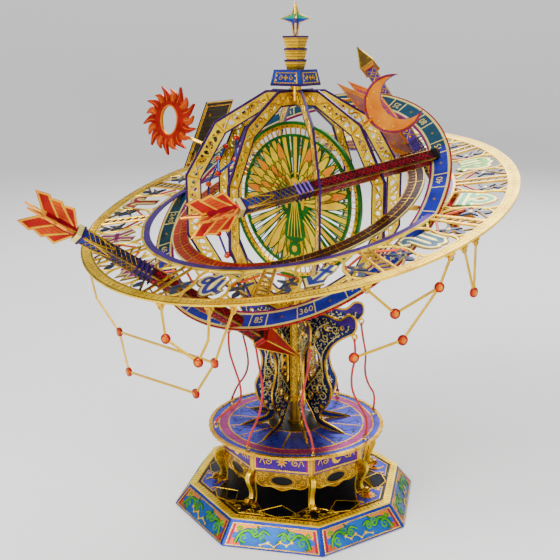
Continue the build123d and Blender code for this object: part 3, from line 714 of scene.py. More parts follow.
def tick_ring():
    piece = Piece("tick_ring_detailed", ring_plane(TICK_TILT))
    outer, middle, inner = TICK[0], 55.4, TICK[1]
    for start, outer_colour, inner_colour in ((-60, "maroon", "maroon"), (120, "salmon", "red")):
        end = start + 180
        piece.slab([arc(outer, start, end, 72) + arc(middle, end, start, 72)], 0.36, outer_colour)
        piece.slab([arc(middle, start, end, 72) + arc(inner, end, start, 72)], 0.36, inner_colour)
    bands(piece, ((outer, 58.6, 0.46, "cream"), (55.6, 55.2, 0.44, "gold"), (51.9, inner, 0.46, "gold")))
    for k in range(120):
        low, high, width = (52.2, 58.4, 0.36) if k % 5 == 0 else (53.4, 55.2, 0.28)
        piece.rib([(low, 0), (high, 0)], width, 0.44, "gold", turned(3 * k))
        colour = "black" if k < 20 or k > 99 else "crimson"
        for shift in (0.75, 1.5, 2.25):
            piece.rib([(52.6, 0), (58.2, 0)], 0.34, 0.4, colour, turned(3 * k + shift))
    for k in range(2):
        piece.slab([[(58.8, -1.5), (63.0, -1.5), (63.0, 1.5), (58.8, 1.5)]], 0.4, "gold", turned(8 + 180 * k))
    return piece.done("globe", ["tick_ring"])


# ---- cage hoops: pierced bands between two rails ----
def cage_hoop(number, azimuth):
    piece = Piece(f"cage_hoop_{number}_scrollwork", radial_plane(azimuth, CENTRE))
    for outer, inner, half, colour in ((0, 1.0, 0.45, "purple"), (1.0, 1.6, 0.36, "pale_gold"),
                                       (HOOP_BAND - 1.5, HOOP_BAND - 0.7, 0.36, "pale_gold"),
                                       (HOOP_BAND - 0.7, HOOP_BAND, 0.45, "purple")):
        piece.slab([polygon(HOOP_R - outer, HOOP_SIDES), polygon(HOOP_R - inner, HOOP_SIDES)], half, colour)
    flat = (HOOP_R - HOOP_BAND / 2) * cos(pi / HOOP_SIDES)
    wide = 2.4
    long_side, short_side = (tan(pi / HOOP_SIDES) * (flat + reach) for reach in (wide, -wide))
    sheet = [(wide, -long_side), (wide, long_side), (-wide, short_side), (-wide, -short_side)]
    drop = [(-1.3, 2.2), (0.2, 3.4), (1.6, 5.0), (0.4, 5.2), (-1.2, 3.9)]
    comma = [(-1.5, 5.8), (0.2, 6.6), (1.5, 8.2), (0.2, 8.6), (-1.5, 7.4)]
    vine = [(-2.2, 0.6), (0.4, 2.6), (1.9, 5.6), (-0.4, 9.0), (-2.0, 11.2)]
    for side in range(HOOP_SIDES):
        turn = turned(360 / HOOP_SIDES * (side + 1)) @ moved(flat, 0)
        holes = [ellipse(1.3, 0.9, 12)]
        for hand in (-1, 1):
            holes += [smooth(flipped(shape, 1, hand), 3, True) for shape in (drop, comma)]
            holes.append(ellipse(0.9, 0.8, 10, (0.9, 2.4 * hand)))
            holes.append(ellipse(1.1, 1.0, 12, (-0.3, 10.3 * hand)))
            piece.rib(smooth(flipped(vine, 1, hand), 4), 0.6, 0.45, "gold", turn)
            piece.rib(curl(1.7, 1.2, 200 * hand, hand, (0.2, 4.6 * hand), 12), 0.45, 0.45, "gold", turn)
        piece.slab([sheet] + holes, 0.32, "pale_gold", turn)
        corner = turned(360 / HOOP_SIDES * (side + 0.5))
        piece.rib([(HOOP_R - HOOP_BAND + 0.4, 0), (HOOP_R - 0.5, 0)], 1.0, 0.4, "gold", corner)
    return piece.done("globe", [f"cage_hoop_{number}"])


# ---- central disc: a sunburst behind a winged figure of a generic design ----
def feather(root, tip, width):
    a, b = Vector(root), Vector(tip)
    side = Vector((a.y - b.y, b.x - a.x)).normalized() * width / 2
    return smooth([tuple(a), tuple(a.lerp(b, 0.35) + side), tuple(a.lerp(b, 0.8) + side * 0.8), tuple(b),
                   tuple(a.lerp(b, 0.8) - side * 0.8), tuple(a.lerp(b, 0.35) - side)], 4, True)


def central_disc():
    piece = Piece("central_disc_sunburst", radial_plane(DISC_AZIMUTH, CENTRE))
    bands(piece, ((DISC_R, 34.6, 0.8, "green"), (34.6, 33.0, 0.6, "gold"), (30.4, 29.2, 0.7, "green")), 96)
    for k in range(72):
        piece.rib([(30.2, 0), (33.2, 0)], 0.4, 0.4, "gold", turned(5 * k))
        piece.slab([circle(0.4, 8, (33.8, 1.4))], 0.72, "green", turned(5 * k))
    rays = 56
    for k in range(rays):
        half = 0.9 if k % 2 else 1.3
        ray = [(8.0, -half * 0.5), (16.0, -half * 0.8), (29.4, -half), (29.4, half), (16.0, half * 0.8),
               (8.0, half * 0.5)]
        if k % 2 == 0:
            piece.slab([ray], 0.3, "yellow", turned(360 / rays * k))
        piece.rib(ray, 0.5, 0.44, "green", turned(360 / rays * k), True)
    piece.slab([circle(8.4, 40)], 0.5, "green")
    for hand in (-1, 1):
        tiers = ((28.6, 4.6, 0.62), (21.0, 4.0, 0.74), (14.0, 3.2, 0.86))
        for tier, (reach, width, height) in enumerate(tiers):
            for k in range(8 - tier):
                angle = radians(70 - 10.5 * k)
                root = (hand * 2.2, 4.6 - 0.7 * k)
                tip = (hand * reach * cos(angle), 2.0 + (reach - 3.0) * sin(angle))
                shape = feather(root, tip, width)
                piece.slab([shape], height, "amber" if (k + tier) % 3 == 0 else "yellow")
                piece.rib(shape, 0.5, height + 0.08, "green", None, True)
        for k in range(5):
            angle = radians(-64 - 10 * k) if hand > 0 else radians(-116 + 10 * k)
            wide, tall = (1.25, 0.94) if k < 3 else (1.0, 1.0)
            tip = (28.2 * cos(angle) * wide, 28.2 * sin(angle) * tall)
            shape = feather((hand * 1.6, -6.0), tip, 4.4)
            piece.slab([shape], 0.6, "yellow")
            piece.rib(shape, 0.5, 0.68, "green", None, True)
        piece.slab([smooth([(hand * 2.0, 4.6), (hand * 5.4, 1.6), (hand * 5.2, -3.0), (hand * 4.0, -3.2),
                             (hand * 3.6, 0.6)], 5, True)], 0.96, "gold")
    gown = smooth([(-2.4, 5.4), (2.4, 5.4), (2.0, 0.4), (4.8, -9.4), (5.6, -16.6), (0, -18.6), (-5.6, -16.6),
                   (-4.8, -9.4), (-2.0, 0.4)], 5, True)
    piece.slab([gown], 0.84, "green")
    for x in (-3.0, -1.5, 0.0, 1.5, 3.0):
        pleat = smooth([(x * 0.4, 3.6), (x * 0.5, -2), (x, -10), (x * 1.3, -16.4)], 5)
        piece.rib(pleat, 0.5, 0.96, "yellow")
    piece.slab([ellipse(1.9, 2.4, 24, (0, 8.2))], 0.9, "yellow")
    piece.rib(arc(2.3, 20, 160, 10, (0, 8.4)), 1.0, 0.98, "gold")
    for side in (-1, 1):
        piece.rib([(0.45 * side, 8.6), (1.15 * side, 8.6)], 0.26, 0.99, "green")
    piece.rib([(0, 8.5), (0, 7.7)], 0.22, 0.99, "green")
    piece.rib([(-0.5, 7.0), (0.5, 7.0)], 0.24, 0.99, "green")
    piece.rib(arc(4.2, 0, 360, 30, (0, 8.8))[:-1], 0.5, 0.7, "gold", None, True)
    piece.slab([circle(3.4, 28, (0, -22.0))], 0.9, "green")
    piece.slab([circle(1.5, 18, (0, -22.0))], 1.0, "gold")
    flame = smooth([(3.4, -0.8), (5.6, -0.5), (7.6, 0.6), (5.8, 1.0), (3.4, 0.8)], 4, True)
    for k in range(9):
        piece.slab([flame], 0.56, "yellow", moved(0, -22.0) @ turned(200 + 17.5 * k))
    return piece.done("disc", ["central_disc"])


zodiac_ring()
numeral_ring()
tick_ring()
for number, azimuth in enumerate(HOOP_AZIMUTHS, 1):
    cage_hoop(number, azimuth)
central_disc()


# ---- fins: navy blades with a few holes, cream scrolls laid on, violet borders and gold edges ----
def fin_line():
    low = smooth([(31.0, 88.1), (25.0, 84.4), (19.6, 79.4), (16.4, 72.0), (17.4, 65.0), (19.8, 58.6),
                  (18.0, 51.0), (13.6, 45.6), (14.6, 42.4), (22.0, 40.2), (27.0, DECK_TOP)], 5)
    foot = smooth([(21.0, DECK_TOP), (12.4, 40.4), (9.4, 45.0), (4.6, 52.0)], 5)
    top = smooth([(4.6, 88.5), (9.5, 93.6), (17.0, 94.6), (24.0, 93.4), (28.4, 96.4), (32.2, 95.4),
                  (32.8, 91.0), (31.0, 88.1)], 5)
    return top + low[1:] + foot


def within(spot, loop, margin):
    """Whether a spot lies inside a loop, and at least the margin from its edge."""
    inside, near = False, 1e9
    for a, b in zip(loop, loop[1:] + loop[:1]):
        if (a[1] > spot.y) != (b[1] > spot.y):
            inside ^= spot.x < (b[0] - a[0]) * (spot.y - a[1]) / (b[1] - a[1]) + a[0]
        near = min(near, (spot - Vector(a[:2])).length)
    return (inside and near > margin) or (margin < 0 and near < -margin)


def fin(number, azimuth):
    piece = Piece(f"fin_{number}_pierced", radial_plane(azimuth))
    line = fin_line()
    window = smooth([(7.2, 76.0), (10.6, 78.4), (12.6, 72.0), (11.4, 66.0), (7.4, 60.6), (6.4, 68.0)], 4,
                    True)
    holes = [window, ellipse(1.5, 2.4, 16, (13.2, 58.0)), ellipse(1.3, 2.0, 16, (8.6, 53.4)),
             ellipse(2.2, 1.5, 16, (18.0, 88.6)), ellipse(1.5, 1.9, 16, (12.2, 84.6)),
             circle(1.0, 12, (25.4, 90.0)), circle(0.9, 12, (14.8, 49.4))]
    piece.slab([line, *holes], 0.3, "navy")
    piece.rib(line, 0.9, 0.4, "gold", None, True)
    for a, b, shift in ((2, 32, 1.0), (36, 82, 1.2)):
        inner = []
        for here, after in zip(line[a:b], line[a + 1:b + 1]):
            step = (Vector(after) - Vector(here)).normalized()
            inner.append((here[0] + step.y * shift, here[1] - step.x * shift))
        if all(p[1] > DECK_TOP + 0.6 for p in inner):
            piece.rib(inner, 0.8, 0.36, "violet")
    for hole in holes:
        piece.rib(hole, 0.6, 0.4, "gold", None, True)
    for x, y, size, start, hand in ((13.4, 64.6, 2.6, 250, 1), (9.6, 81.8, 2.2, 90, -1),
                                    (16.2, 83.6, 2.2, 200, 1), (21.8, 88.6, 2.2, 330, -1),
                                    (15.2, 54.6, 2.2, 100, -1), (10.6, 57.6, 2.0, 270, 1),
                                    (7.4, 88.6, 1.7, 20, 1), (12.2, 46.6, 1.6, 60, 1)):
        piece.rib(curl(size, 1.3, start, hand, (x, y), 16), 0.6, 0.38, "cream", end_width=0.4)
    for vine in ([(6.0, 56.0), (9.4, 61.0), (14.2, 67.6), (13.6, 74.0), (10.4, 80.0), (12.4, 87.4),
                  (18.4, 91.4)],
                 [(17.6, 57.0), (15.4, 61.4), (15.0, 68.0), (14.8, 74.6), (18.6, 81.4), (24.4, 86.6)]):
        piece.rib(smooth(vine, 5), 0.6, 0.37, "cream")
    for k in range(19):
        for j in range(40):
            x, z = 6.0 + 1.45 * k + 0.7 * (j % 2), 42.6 + 1.35 * j
            spot = Vector((x, z))
            if within(spot, line, 1.5) and not any(within(spot, hole, -1.0) for hole in holes):
                comma = curl(0.62, 0.7, 97 * k + 53 * j, 1 if (k + j) % 2 else -1, (x, z), 6)
                piece.rib(comma, 0.34, 0.37, "cream" if (k + j) % 3 else "black", end_width=0.2)
    for x, z, size, start, hand in ((8.6, 72.6, 1.8, 180, 1), (9.4, 68.6, 1.6, 0, -1),
                                    (8.2, 65.2, 1.2, 180, 1)):
        piece.rib(curl(size, 1.2, start, hand, (x, z), 14), 0.55, 0.3, "gold")
    lip = smooth([(23.0, 91.6), (26.6, 92.8), (28.6, 95.0), (31.4, 94.2), (31.4, 91.0), (29.6, 90.8),
                  (28.8, 92.2), (26.6, 91.2)], 4, True)
    piece.slab([lip], 0.38, "violet")
    eye = (FIN_EYE_R, FIN_EYE_Z)
    piece.slab([circle(EYE_R, 24, eye), circle(0.8, 16, eye)], 0.4, "gold")
    return piece.done("stand", [f"fin_{number}"])


# ---- column, finial ----
def column_sleeve():
    piece = Piece("column_sleeve_fluted", level())
    piece.lathe([(3.5, SLEEVE_BOTTOM), (4.1, SLEEVE_BOTTOM + 1.5), (4.2, SLEEVE_BOTTOM + 1.5),
                 (4.2, COLUMN_TOP - 0.1), (3.5, COLUMN_TOP)], SIDES, "dark_gold")
    reach = COLUMN_R * FLAT
    for k in range(SIDES):
        face = plane(polar(reach - 0.15, CORNER * k), polar(1, CORNER * k + 90), polar(1, CORNER * k))
        panel = Piece("face", face)
        for x in (-1.45, 1.45):
            panel.strip([(x, SLEEVE_BOTTOM + 0.6), (x, COLUMN_TOP - 0.4)], 0.5, -0.2, 0.3, "gold")
        for step in range(9):
            hand = 1 if step % 2 else -1
            z = SLEEVE_BOTTOM + 3.2 + 4.5 * step
            panel.strip(curl(1.15, 1.1, 90, hand, (0, z), 12), 0.42, -0.15, 0.28, "gold")
            panel.strip([(0.7 * hand, z + 1.0), (-0.7 * hand, z + 3.4)], 0.42, -0.15, 0.28, "pale_gold")
        foot = [(-1.4, SLEEVE_BOTTOM + 2.6), (0, SLEEVE_BOTTOM + 0.5), (1.4, SLEEVE_BOTTOM + 2.6)]
        panel.strip(foot, 0.5, -0.2, 0.32, "gold")
        piece.merge(panel)
    return piece.done("stand", ["column_sleeve"])


def finial():
    flat = CENTRE_Z + HOOP_R
    box = Piece("finial_pedestal_panelled", level())
    box.lathe([(2.4, flat - 6.6), (2.4, flat)], 24, "gold")
    box.bar([(11.0, flat), (11.3, flat + 0.5), (9.8, 203.9), (9.6, 204.4)], "royal", 0.25)
    for z, r in ((flat + 0.5, 11.35), (203.9, 9.75)):
        box.bar([(r, z - 0.45), (r, z + 0.45)], "purple", 0.25)
    for k in range(4):
        out = polar(1, 90 * k + 67.5)
        lean = Vector((out.x, out.y, 0.18))
        side = Piece("side", plane(out * 7.42 + Vector((0, 0, 201.0)), out.cross(UP) * -1, lean))
        side.strip([(-5.8, -2.2), (-5.2, 2.1), (5.2, 2.1), (5.8, -2.2)], 0.45, -0.2, 0.3, "gold", None, True)
        side.plate([star(1.5, 0.6, 4)], -0.2, 0.32, "gold")
        for hand in (-1, 1):
            side.strip(curl(1.2, 1.2, 90, hand, (2.9 * hand, 0)), 0.4, -0.2, 0.3, "gold")
            side.plate([circle(0.3, 8, (4.9 * hand, 0.9))], -0.2, 0.3, "cream")
            side.plate([circle(0.3, 8, (4.9 * hand, -1.1))], -0.2, 0.3, "cream")
        box.merge(side)
    box.done("globe", ["finial_pedestal"])
    tiers = Piece("finial_column_tiers", level())
    z = 204.4
    for wide, narrow, height in ((5.0, 3.8, 4.2), (5.2, 4.0, 4.8), (5.8, 4.2, 5.2)):
        tiers.bar([(narrow, z), (wide * 0.96, z + height - 0.7)], "gold", 0.25)
        tiers.bar([(wide, z + height - 0.8), (wide, z + height)], "purple", 0.25)
        for step in range(1, 4):
            share = step / 4
            r, seam = narrow + (wide - narrow) * share + 0.12, z + height * share
            tiers.bar([(r, seam - 0.15), (r, seam + 0.15)], "dark_gold", 0.25)
        z += height
    tiers.done("globe", ["finial_column"])
    for blade, azimuth in enumerate((11.0, 101.0)):
        point = Piece(f"finial_star_blade_{blade + 1}", radial_plane(azimuth))
        waist, hip, tail = z + 8.9, z + 5.5, z + 0.2
        top = [(0, FINIAL_TOP), (1.7, waist), (6.6, z + 7.2), (-6.6, z + 7.2), (-1.7, waist)]
        low = [(-6.6, z + 7.2), (6.6, z + 7.2), (1.7, hip), (0.9, z), (-0.9, z), (-1.7, hip)]
        point.slab([top], 0.32, "mint")
        point.slab([low], 0.32, "royal")
        rim = [(0, FINIAL_TOP - 0.1), (1.7, waist), (6.5, z + 7.2), (1.7, hip), (0.9, tail), (-0.9, tail),
               (-1.7, hip), (-6.5, z + 7.2), (-1.7, waist)]
        point.rib(rim, 0.5, 0.4, "gold", None, True)
        point.done("globe", ["finial_star"] if not blade else [])


# ---- arrows ----
def bar_face(angle, distance):
    """A face of a square bar along local z: x runs across it and -y runs towards the tip."""
    out = polar(1, angle)
    made = Matrix((out.cross(UP), (0, 0, -1), out)).transposed().to_4x4()
    made.translation = out * distance
    return made


def arrow(number):
    tail, tip = Vector(ARROW_TAIL[number]), Vector(ARROW_TIP[number])
    length = (tip - tail).length
    along = (tip - tail).normalized()
    where = plane(tail, UP.cross(along), along)
    neck = length - ARROW_HEAD[number]
    half = ARROW_SHAFT / sqrt(2)

    shaft = Piece(f"arrow_{number + 1}_shaft_latticed", where)
    main = "violet" if number == 2 else "maroon"
    shaft.bar([(half, FLETCH), (half, FLETCH + 9)], "royal")
    shaft.bar([(half, FLETCH + 9), (half, ARROW_COLLAR + 4)], "navy")
    shaft.bar([(half, ARROW_COLLAR + 4), (half, neck)], main)
    for z in (-3, -1, 1, 3):
        shaft.bar([(half + 0.2, ARROW_COLLAR + z - 0.6), (half + 0.85, ARROW_COLLAR + z),
                     (half + 0.2, ARROW_COLLAR + z + 0.6)], "purple")
    shaft.bar([(half + 0.5, FLETCH), (half + 0.5, FLETCH + 2.0)], "cream")
    shaft.bar([(half + 0.7, FLETCH + 2.0), (half + 0.7, FLETCH + 2.9)], "purple")
    side = ARROW_SHAFT / 2 - 0.1
    lattice = "crimson" if number < 2 else "gold"
    lobe = smooth([(x, y - FLETCH) for x, y in ((-2.0, -3.5), (-1.9, -9), (-0.9, -13), (0, -16), (0.9, -13),
                                                (1.9, -9), (2.0, -3.5))], 4)
    for quarter in range(4):
        turn = bar_face(45 + 90 * quarter, side)
        shaft.strip(lobe, 0.5, 0.0, 0.4, "gold", turn)
        for step in range(int((neck - ARROW_COLLAR - 6) / 4.2)):
            z = -(ARROW_COLLAR + 6 + 4.2 * step)
            for way in (-1, 1):
                shaft.strip([(-1.9 * way, z), (1.9 * way, z - 4.2)], 0.4, 0.0, 0.32, lattice, turn)
            shaft.plate([star(0.9, 0.5, 4, 90, (0, z))], 0.0, 0.42, lattice, turn)
        for step in range(10):
            z = -(FLETCH + 4 + 2.3 * step)
            for way in (-1, 1):
                shaft.strip([(-1.9 * way, z), (1.9 * way, z - 2.3)], 0.36, 0.0, 0.32, "dark_gold", turn)
        for x in (-2.05, 2.05):
            shaft.strip([(x, -FLETCH - 3), (x, -neck)], 0.35, -0.2, 0.3, "dark_gold", turn)
    shaft.done("globe", [f"arrow_{number + 1}_shaft"])

    head = Piece(f"arrow_{number + 1}_head_faceted", where)
    wide = min(5.5, ARROW_HEAD[number] * 0.4)
    colour = ("red", "black", "dark_gold")[number]
    shoulder = neck + 2
    head.bar([(half, neck), (wide, shoulder), (0.3, length)], colour)
    for k in range(4):
        edge = polar(1, 90 * k)
        head.wire([edge * wide + UP * shoulder, UP * (length - 0.3)], 0.28, "gold", sides=6)
        for share in (0.25, 0.5, 0.72):
            z = shoulder + (length - shoulder) * share
            a, b = (polar(wide * (1 - share) + 0.06, 90 * k + turn, z) for turn in (0, 90))
            middle = (a + b) / 2 - UP * 1.8
            head.wire([a, middle, b], 0.2, "maroon" if number == 0 else "gold", sides=5)
    for z, r in ((neck, half + 0.6), (neck + 1.6, wide * 0.9)):
        head.bar([(r, z - 0.4), (r, z + 0.4)], "orange" if number == 2 else "black")
    head.done("globe", [f"arrow_{number + 1}_head"])

    feathers = Piece(f"arrow_{number + 1}_feathers_layered", where)
    for quarter in range(2):
        turn = turned(90 * quarter) @ Matrix.Rotation(radians(90), 4, "X")
        for hand in (-1, 1):
            for layer in range(3):
                z = 6.6 * layer
                root = 1.2
                barb = [(root * hand, z + 5.4), (6.4 * hand, z * 0.8), (7.4 * hand, z * 0.8 + 4.4),
                        (root * hand, z + 12.0 if layer < 2 else FLETCH)]
                thick = 0.3 + 0.06 * layer
                feathers.slab([barb], thick, "orange" if layer % 2 else "red", turn)
                feathers.rib(barb, 1.1, thick + 0.1, "amber", turn, True)
                feathers.rib(barb, 0.45, thick + 0.16, "yellow", turn, True)
                for share in (0.3, 0.5, 0.7):
                    low = Vector(barb[0]).lerp(Vector(barb[1]), share)
                    high = Vector(barb[3]).lerp(Vector(barb[2]), share)
                    feathers.rib([tuple(low), tuple(high)], 0.25, thick + 0.06, "crimson", turn)
    feathers.bar([(2.0, 7.0), (2.4, FLETCH)], "crimson")
    feathers.done("globe", [f"arrow_{number + 1}_feathers"])


# ---- sun, moon, charts, star chains ----
def stem(piece, start, azimuth, height):
    """A rod from the ornament to the cage, which it meets at a compass side and a height angle."""
    out = polar(cos(radians(height)), azimuth, sin(radians(height)))
    ends = [inside(piece, p) for p in (start, CENTRE + out * (HOOP_R - 1.6))]
    piece.wire(ends, 0.7, "gold", sides=6)


def sun():
    piece = Piece("sun_flames", facing((-54.6, -12.0, 182.8), (-0.35, -0.9, 0.1)))
    hole = ellipse(4.6, 6.4, 40)
    piece.plate([ellipse(9.8, 10.8, 40), hole], -0.7, 0.5, "red")
    piece.strip(hole, 0.7, -0.6, 0.8, "amber", None, True)
    for k in range(18):
        reach, colour = (15.3, "red") if k % 2 else (13.4, "orange")
        turn = turned(20 * k)
        flame = [(8.2, -2.0), (10.6, -1.9), (12.6, -0.5), (reach, 2.4), (12.0, 1.5), (10.4, 1.5), (8.2, 2.2)]
        vein = [(8.6, 0.2), (11.0, 0.2), (reach - 1.4, 1.5)]
        piece.plate([smooth(flame, 4)], -0.7, 0.55, colour, turn)
        piece.strip(smooth(vein, 4), 0.4, -0.78, 0.66, "amber", turn, end_width=0.2)
    stem(piece, (-48.6, -14.0, 176.5), -157.5, 33.0)
    return piece.done("globe", ["sun_dish"])


def crescent(outer=MOON_R, inner=MOON_BITE_R):
    """Outline of a crescent: the outer arc and the part of the inner circle that bites into it."""
    far = Vector(MOON_SHIFT)
    reach = far.length
    along = (outer ** 2 - inner ** 2 + reach ** 2) / (2 * reach)
    half = sqrt(outer ** 2 - along ** 2)
    facing_angle = degrees(atan2(far.y, far.x))
    open_outer = degrees(atan2(half, along))
    open_inner = degrees(atan2(half, along - reach))
    wide = arc(outer, facing_angle + open_outer, facing_angle + 360 - open_outer, 44)
    bite = arc(inner, facing_angle + 360 - open_inner, facing_angle + open_inner, 36, tuple(far))
    return wide + bite[1:-1]


def moon():
    piece = Piece("moon_layers", facing((43.4, -3.4, 190.2), (0.16, -0.95, 0.24)))
    piece.plate([crescent()], -0.8, 0.1, "orange")
    piece.plate([crescent(MOON_R - 1.2, MOON_BITE_R + 0.2)], 0.1, 0.6, "amber")
    piece.strip(crescent(MOON_R - 0.5, MOON_BITE_R + 0.15), 0.3, 0.0, 0.75, "violet", None, True)
    for k in range(7):
        spot = polar(11.4 if k % 2 else 9.8, 150 + 20 * k)
        piece.plate([star(0.7, 0.3, 4, 45, tuple(spot.xy))], 0.4, 0.78, "yellow")
    stem(piece, (35.2, -5.5, 184.2), -30.0, 45.0)
    return piece.done("globe", ["moon_crescent"])


def chart(name, node, corner, along, across, finishes, stem_at):
    """A flat chart sheet with a border, stripes and stars."""
    a, b, d = Vector(corner), Vector(along), Vector(across)
    normal = (b - a).cross(d - a).normalized()
    piece = Piece(name, plane(a, b - a, normal))
    corners = [tuple(inside(piece, p).xy) for p in (a, b, b + d - a, d)]
    fill, border, mark = finishes
    piece.plate([corners], 0.05, 0.7, fill)
    middle = (Vector(corners[0]) + Vector(corners[2])) / 2
    for share in (0.97, 0.86):
        inner = [tuple(middle + (Vector(p) - middle) * share) for p in corners]
        piece.strip(inner, 0.7, 0.0, 0.8, border, None, True)
    origin = Vector(corners[0])
    u, v = Vector(corners[1]) - origin, Vector(corners[3]) - origin
    for step in range(1, 8):
        share = step / 8
        line = [tuple(origin + u * share + v * t) for t in (0.1, 0.9)]
        piece.strip(line, 0.4, 0.0, 0.78, mark)
    for step, (s, t) in enumerate(((0.2, 0.25), (0.4, 0.5), (0.65, 0.35), (0.8, 0.7), (0.3, 0.8))):
        spot = tuple(origin + u * s + v * t)
        piece.plate([star(1.3, 0.5, 4, 45, spot)], 0.0, 0.85, "gold" if step % 2 else border)
    stem(piece, *stem_at)
    return piece.done("globe", [node])


def star_chains():
    chains = [[(-150, 47), (-128, 33), (-143, 22), (-160, 30)],
              [(-172, 38), (-165, 12), (-170, -4), (-158, -6)],
              [(-140, -16), (-146, -34), (-136, -30), (-130, -38)]]
    piece = Piece("star_chain_beads", level())
    for chain, colour in zip(chains, ("royal", "navy", "violet")):
        spots = [CENTRE + polar(cos(radians(h)), a, sin(radians(h))) * 40.2 for a, h in chain]
        for a, b in zip(spots, spots[1:]):
            piece.wire([a, b], 0.55, colour, sides=6)
        for step, spot in enumerate(spots):
            piece.ball(spot, 1.45, "orange" if step % 2 else "red", flat=0.8)
    return piece.done("globe", ["star_chains"], True)


for number, azimuth in enumerate(CORNERS, 1):
    fin(number, azimuth)
column_sleeve()
finial()
for number in range(3):
    arrow(number)
sun()
moon()
chart("chart_right_striped", "chart_sheet_right", (15.6, 17.2, 197.9), (30.4, 20.4, 191.6),
      (42.6, 23.0, 166.2), ("tan", "amber", "violet"), ((38.0, 22.0, 178.0), 22.5, 38.0))
chart("chart_back_striped", "chart_sheet_back", (20.0, 21.6, 198.6), (33.6, 25.4, 193.4), (43.0, 26.4, 170.0),
      ("salmon", "amber", "violet"), ((28.0, 24.3, 190.0), 67.5, 62.0))
chart("chart_card_framed", "chart_card_left", (-42.6, 4.6, 189.8), (-53.6, 2.4, 159.8), (-36.4, 27.9, 189.8),
      ("black", "gold", "green"), ((-50.5, 12.0, 168.0), -157.5, 12.0))
star_chains()


# ---- hanging constellations ----
def pendant(name):
    hooks, stars, kinks, lines = PENDANTS[name]
    start, end = (hook_point(azimuth) for azimuth in hooks)
    along = (end - start).normalized()
    down = (Vector((0, 0, -1)) + along * along.z).normalized()
    piece = Piece(f"{name}_beads", plane(start, along, along.cross(down)))
    places = {"h0": (0, 0.9), "h1": ((end - start).length, 0.9)}
    places.update(enumerate(stars))
    places.update({f"k{number}": kink for number, kink in enumerate(kinks)})
    for a, b in lines:
        piece.rib([places[a], places[b]], 1.05, 0.35, "yellow")
        piece.rib([places[a], places[b]], 0.4, 0.42, "gold")
    for number, (x, y) in enumerate(stars):
        piece.ball((x, y, 0), 1.9, "orange", flat=0.5, sides=18)
        piece.slab([circle(1.0, 16, (x, y))], 1.06, "amber")
        piece.rib(circle(1.85, 20, (x, y)), 0.4, 0.55, "red", None, True)
    for x in (0.0, (end - start).length):
        piece.wire([(x - 1, 0, 0), (x + 1, 0, 0)], 0.95, "gold", sides=16)
        piece.rib(circle(1.1, 16, (x, 1.3)), 0.5, 0.35, "gold", None, True)
    return piece.done(f"{name}_hung", [name], True)


# ---- deck ----
def deck():
    piece = Piece("deck_enamelled", level(DECK_TOP))
    piece.plate([circle(DECK_R, 96), circle(3.0, 24)], -0.8, -0.15, "black")
    for outer, inner, colour, high in ((40.3, 37.6, "peri", 0.0), (37.6, 36.9, "gold", 0.12),
                                       (36.9, 32.9, "magenta", 0.0), (32.9, 32.2, "gold", 0.12),
                                       (32.2, 14.0, "peri", -0.02), (14.0, 13.4, "gold", 0.1),
                                       (13.4, 3.0, "black", 0.0)):
        piece.plate([circle(outer, 96), circle(inner, 96)], -0.3, high, colour)
    for k in range(16):
        turn = turned(22.5 * k)
        piece.strip([(14.0, 0), (32.4, 0)], 0.9, -0.2, 0.14, "gold", turn)
        spots = [(19.0, 2.0), (22.4, 4.6 if k % 2 else 2.6), (25.6, 3.2), (28.4, 6.4), (29.6, 4.2)]
        piece.strip(spots, 0.35, -0.1, 0.06, "black", turn)
        for x, y in spots:
            piece.plate([star(0.75, 0.35, 5, 20 * k, (x, y))], -0.1, 0.08, "black", turn)
        piece.slab([star(0.6, 0.25, 4, 0, (30.6, 2.2))], 0.1, "gold", turn)
    for k in range(48):
        piece.plate([circle(0.35, 8, tuple(polar(34.9, 7.5 * k).xy))], -0.1, 0.06, "pink")
    return piece.done("stand", ["deck_plate"])


def deck_rim():
    piece = Piece("deck_rim_serrated", level(DECK_TOP))
    teeth = 96
    edge = [tuple(polar(RIM_R if k % 2 else RIM_R - 0.7, 360 * k / teeth).xy) for k in range(teeth)]
    piece.plate([edge, circle(DECK_R, 96)], -0.9, 0.3, "gold")
    for z in (-0.9, -0.2):
        piece.plate([circle(RIM_R - 0.35, 96), circle(DECK_R + 0.1, 96)], z, z + 0.35, "gold")
    for k in range(teeth // 2):
        angle = 720 * k / teeth
        piece.plate([[tuple(polar(DECK_R + 0.2, angle - 1.2).xy), tuple(polar(RIM_R - 0.2, angle - 0.9).xy),
                      tuple(polar(RIM_R - 0.2, angle + 0.9).xy), tuple(polar(DECK_R + 0.2, angle + 1.2).xy)]],
                    0.2, 0.42, "gold")
    return piece.done("stand", ["deck_rim"])


def eyelets():
    piece = Piece("cord_eyelets_rings", level())
    for azimuth in CORNERS:
        out = polar(1, azimuth)
        middle = out * EYELET_R + UP * (DECK_TOP + EYE_R - 0.25)
        ring = [middle + (out * cos(tau * k / 20) + UP * sin(tau * k / 20)) * 1.15 for k in range(20)]
        piece.wire([p for p in ring if p.z > DECK_TOP - 0.1], 0.32, "gold", sides=8)
        piece.lathe([(0.9, DECK_TOP), (0.6, DECK_TOP + 0.3)], 12, "cream", Matrix.Translation(out * EYELET_R))
    return piece.done("stand", ["cord_eyelets"], True)


# ---- drum: violet panels with generic star and wave motifs, gold frames ----
def facet(k, distance, low, tilt=0.0):
    """A plane on side k of the octagon: local x runs round it and local y runs up."""
    out = polar(1, CORNER * k)
    return plane(out * distance + UP * low, polar(1, CORNER * k + 90), out + UP * tilt)


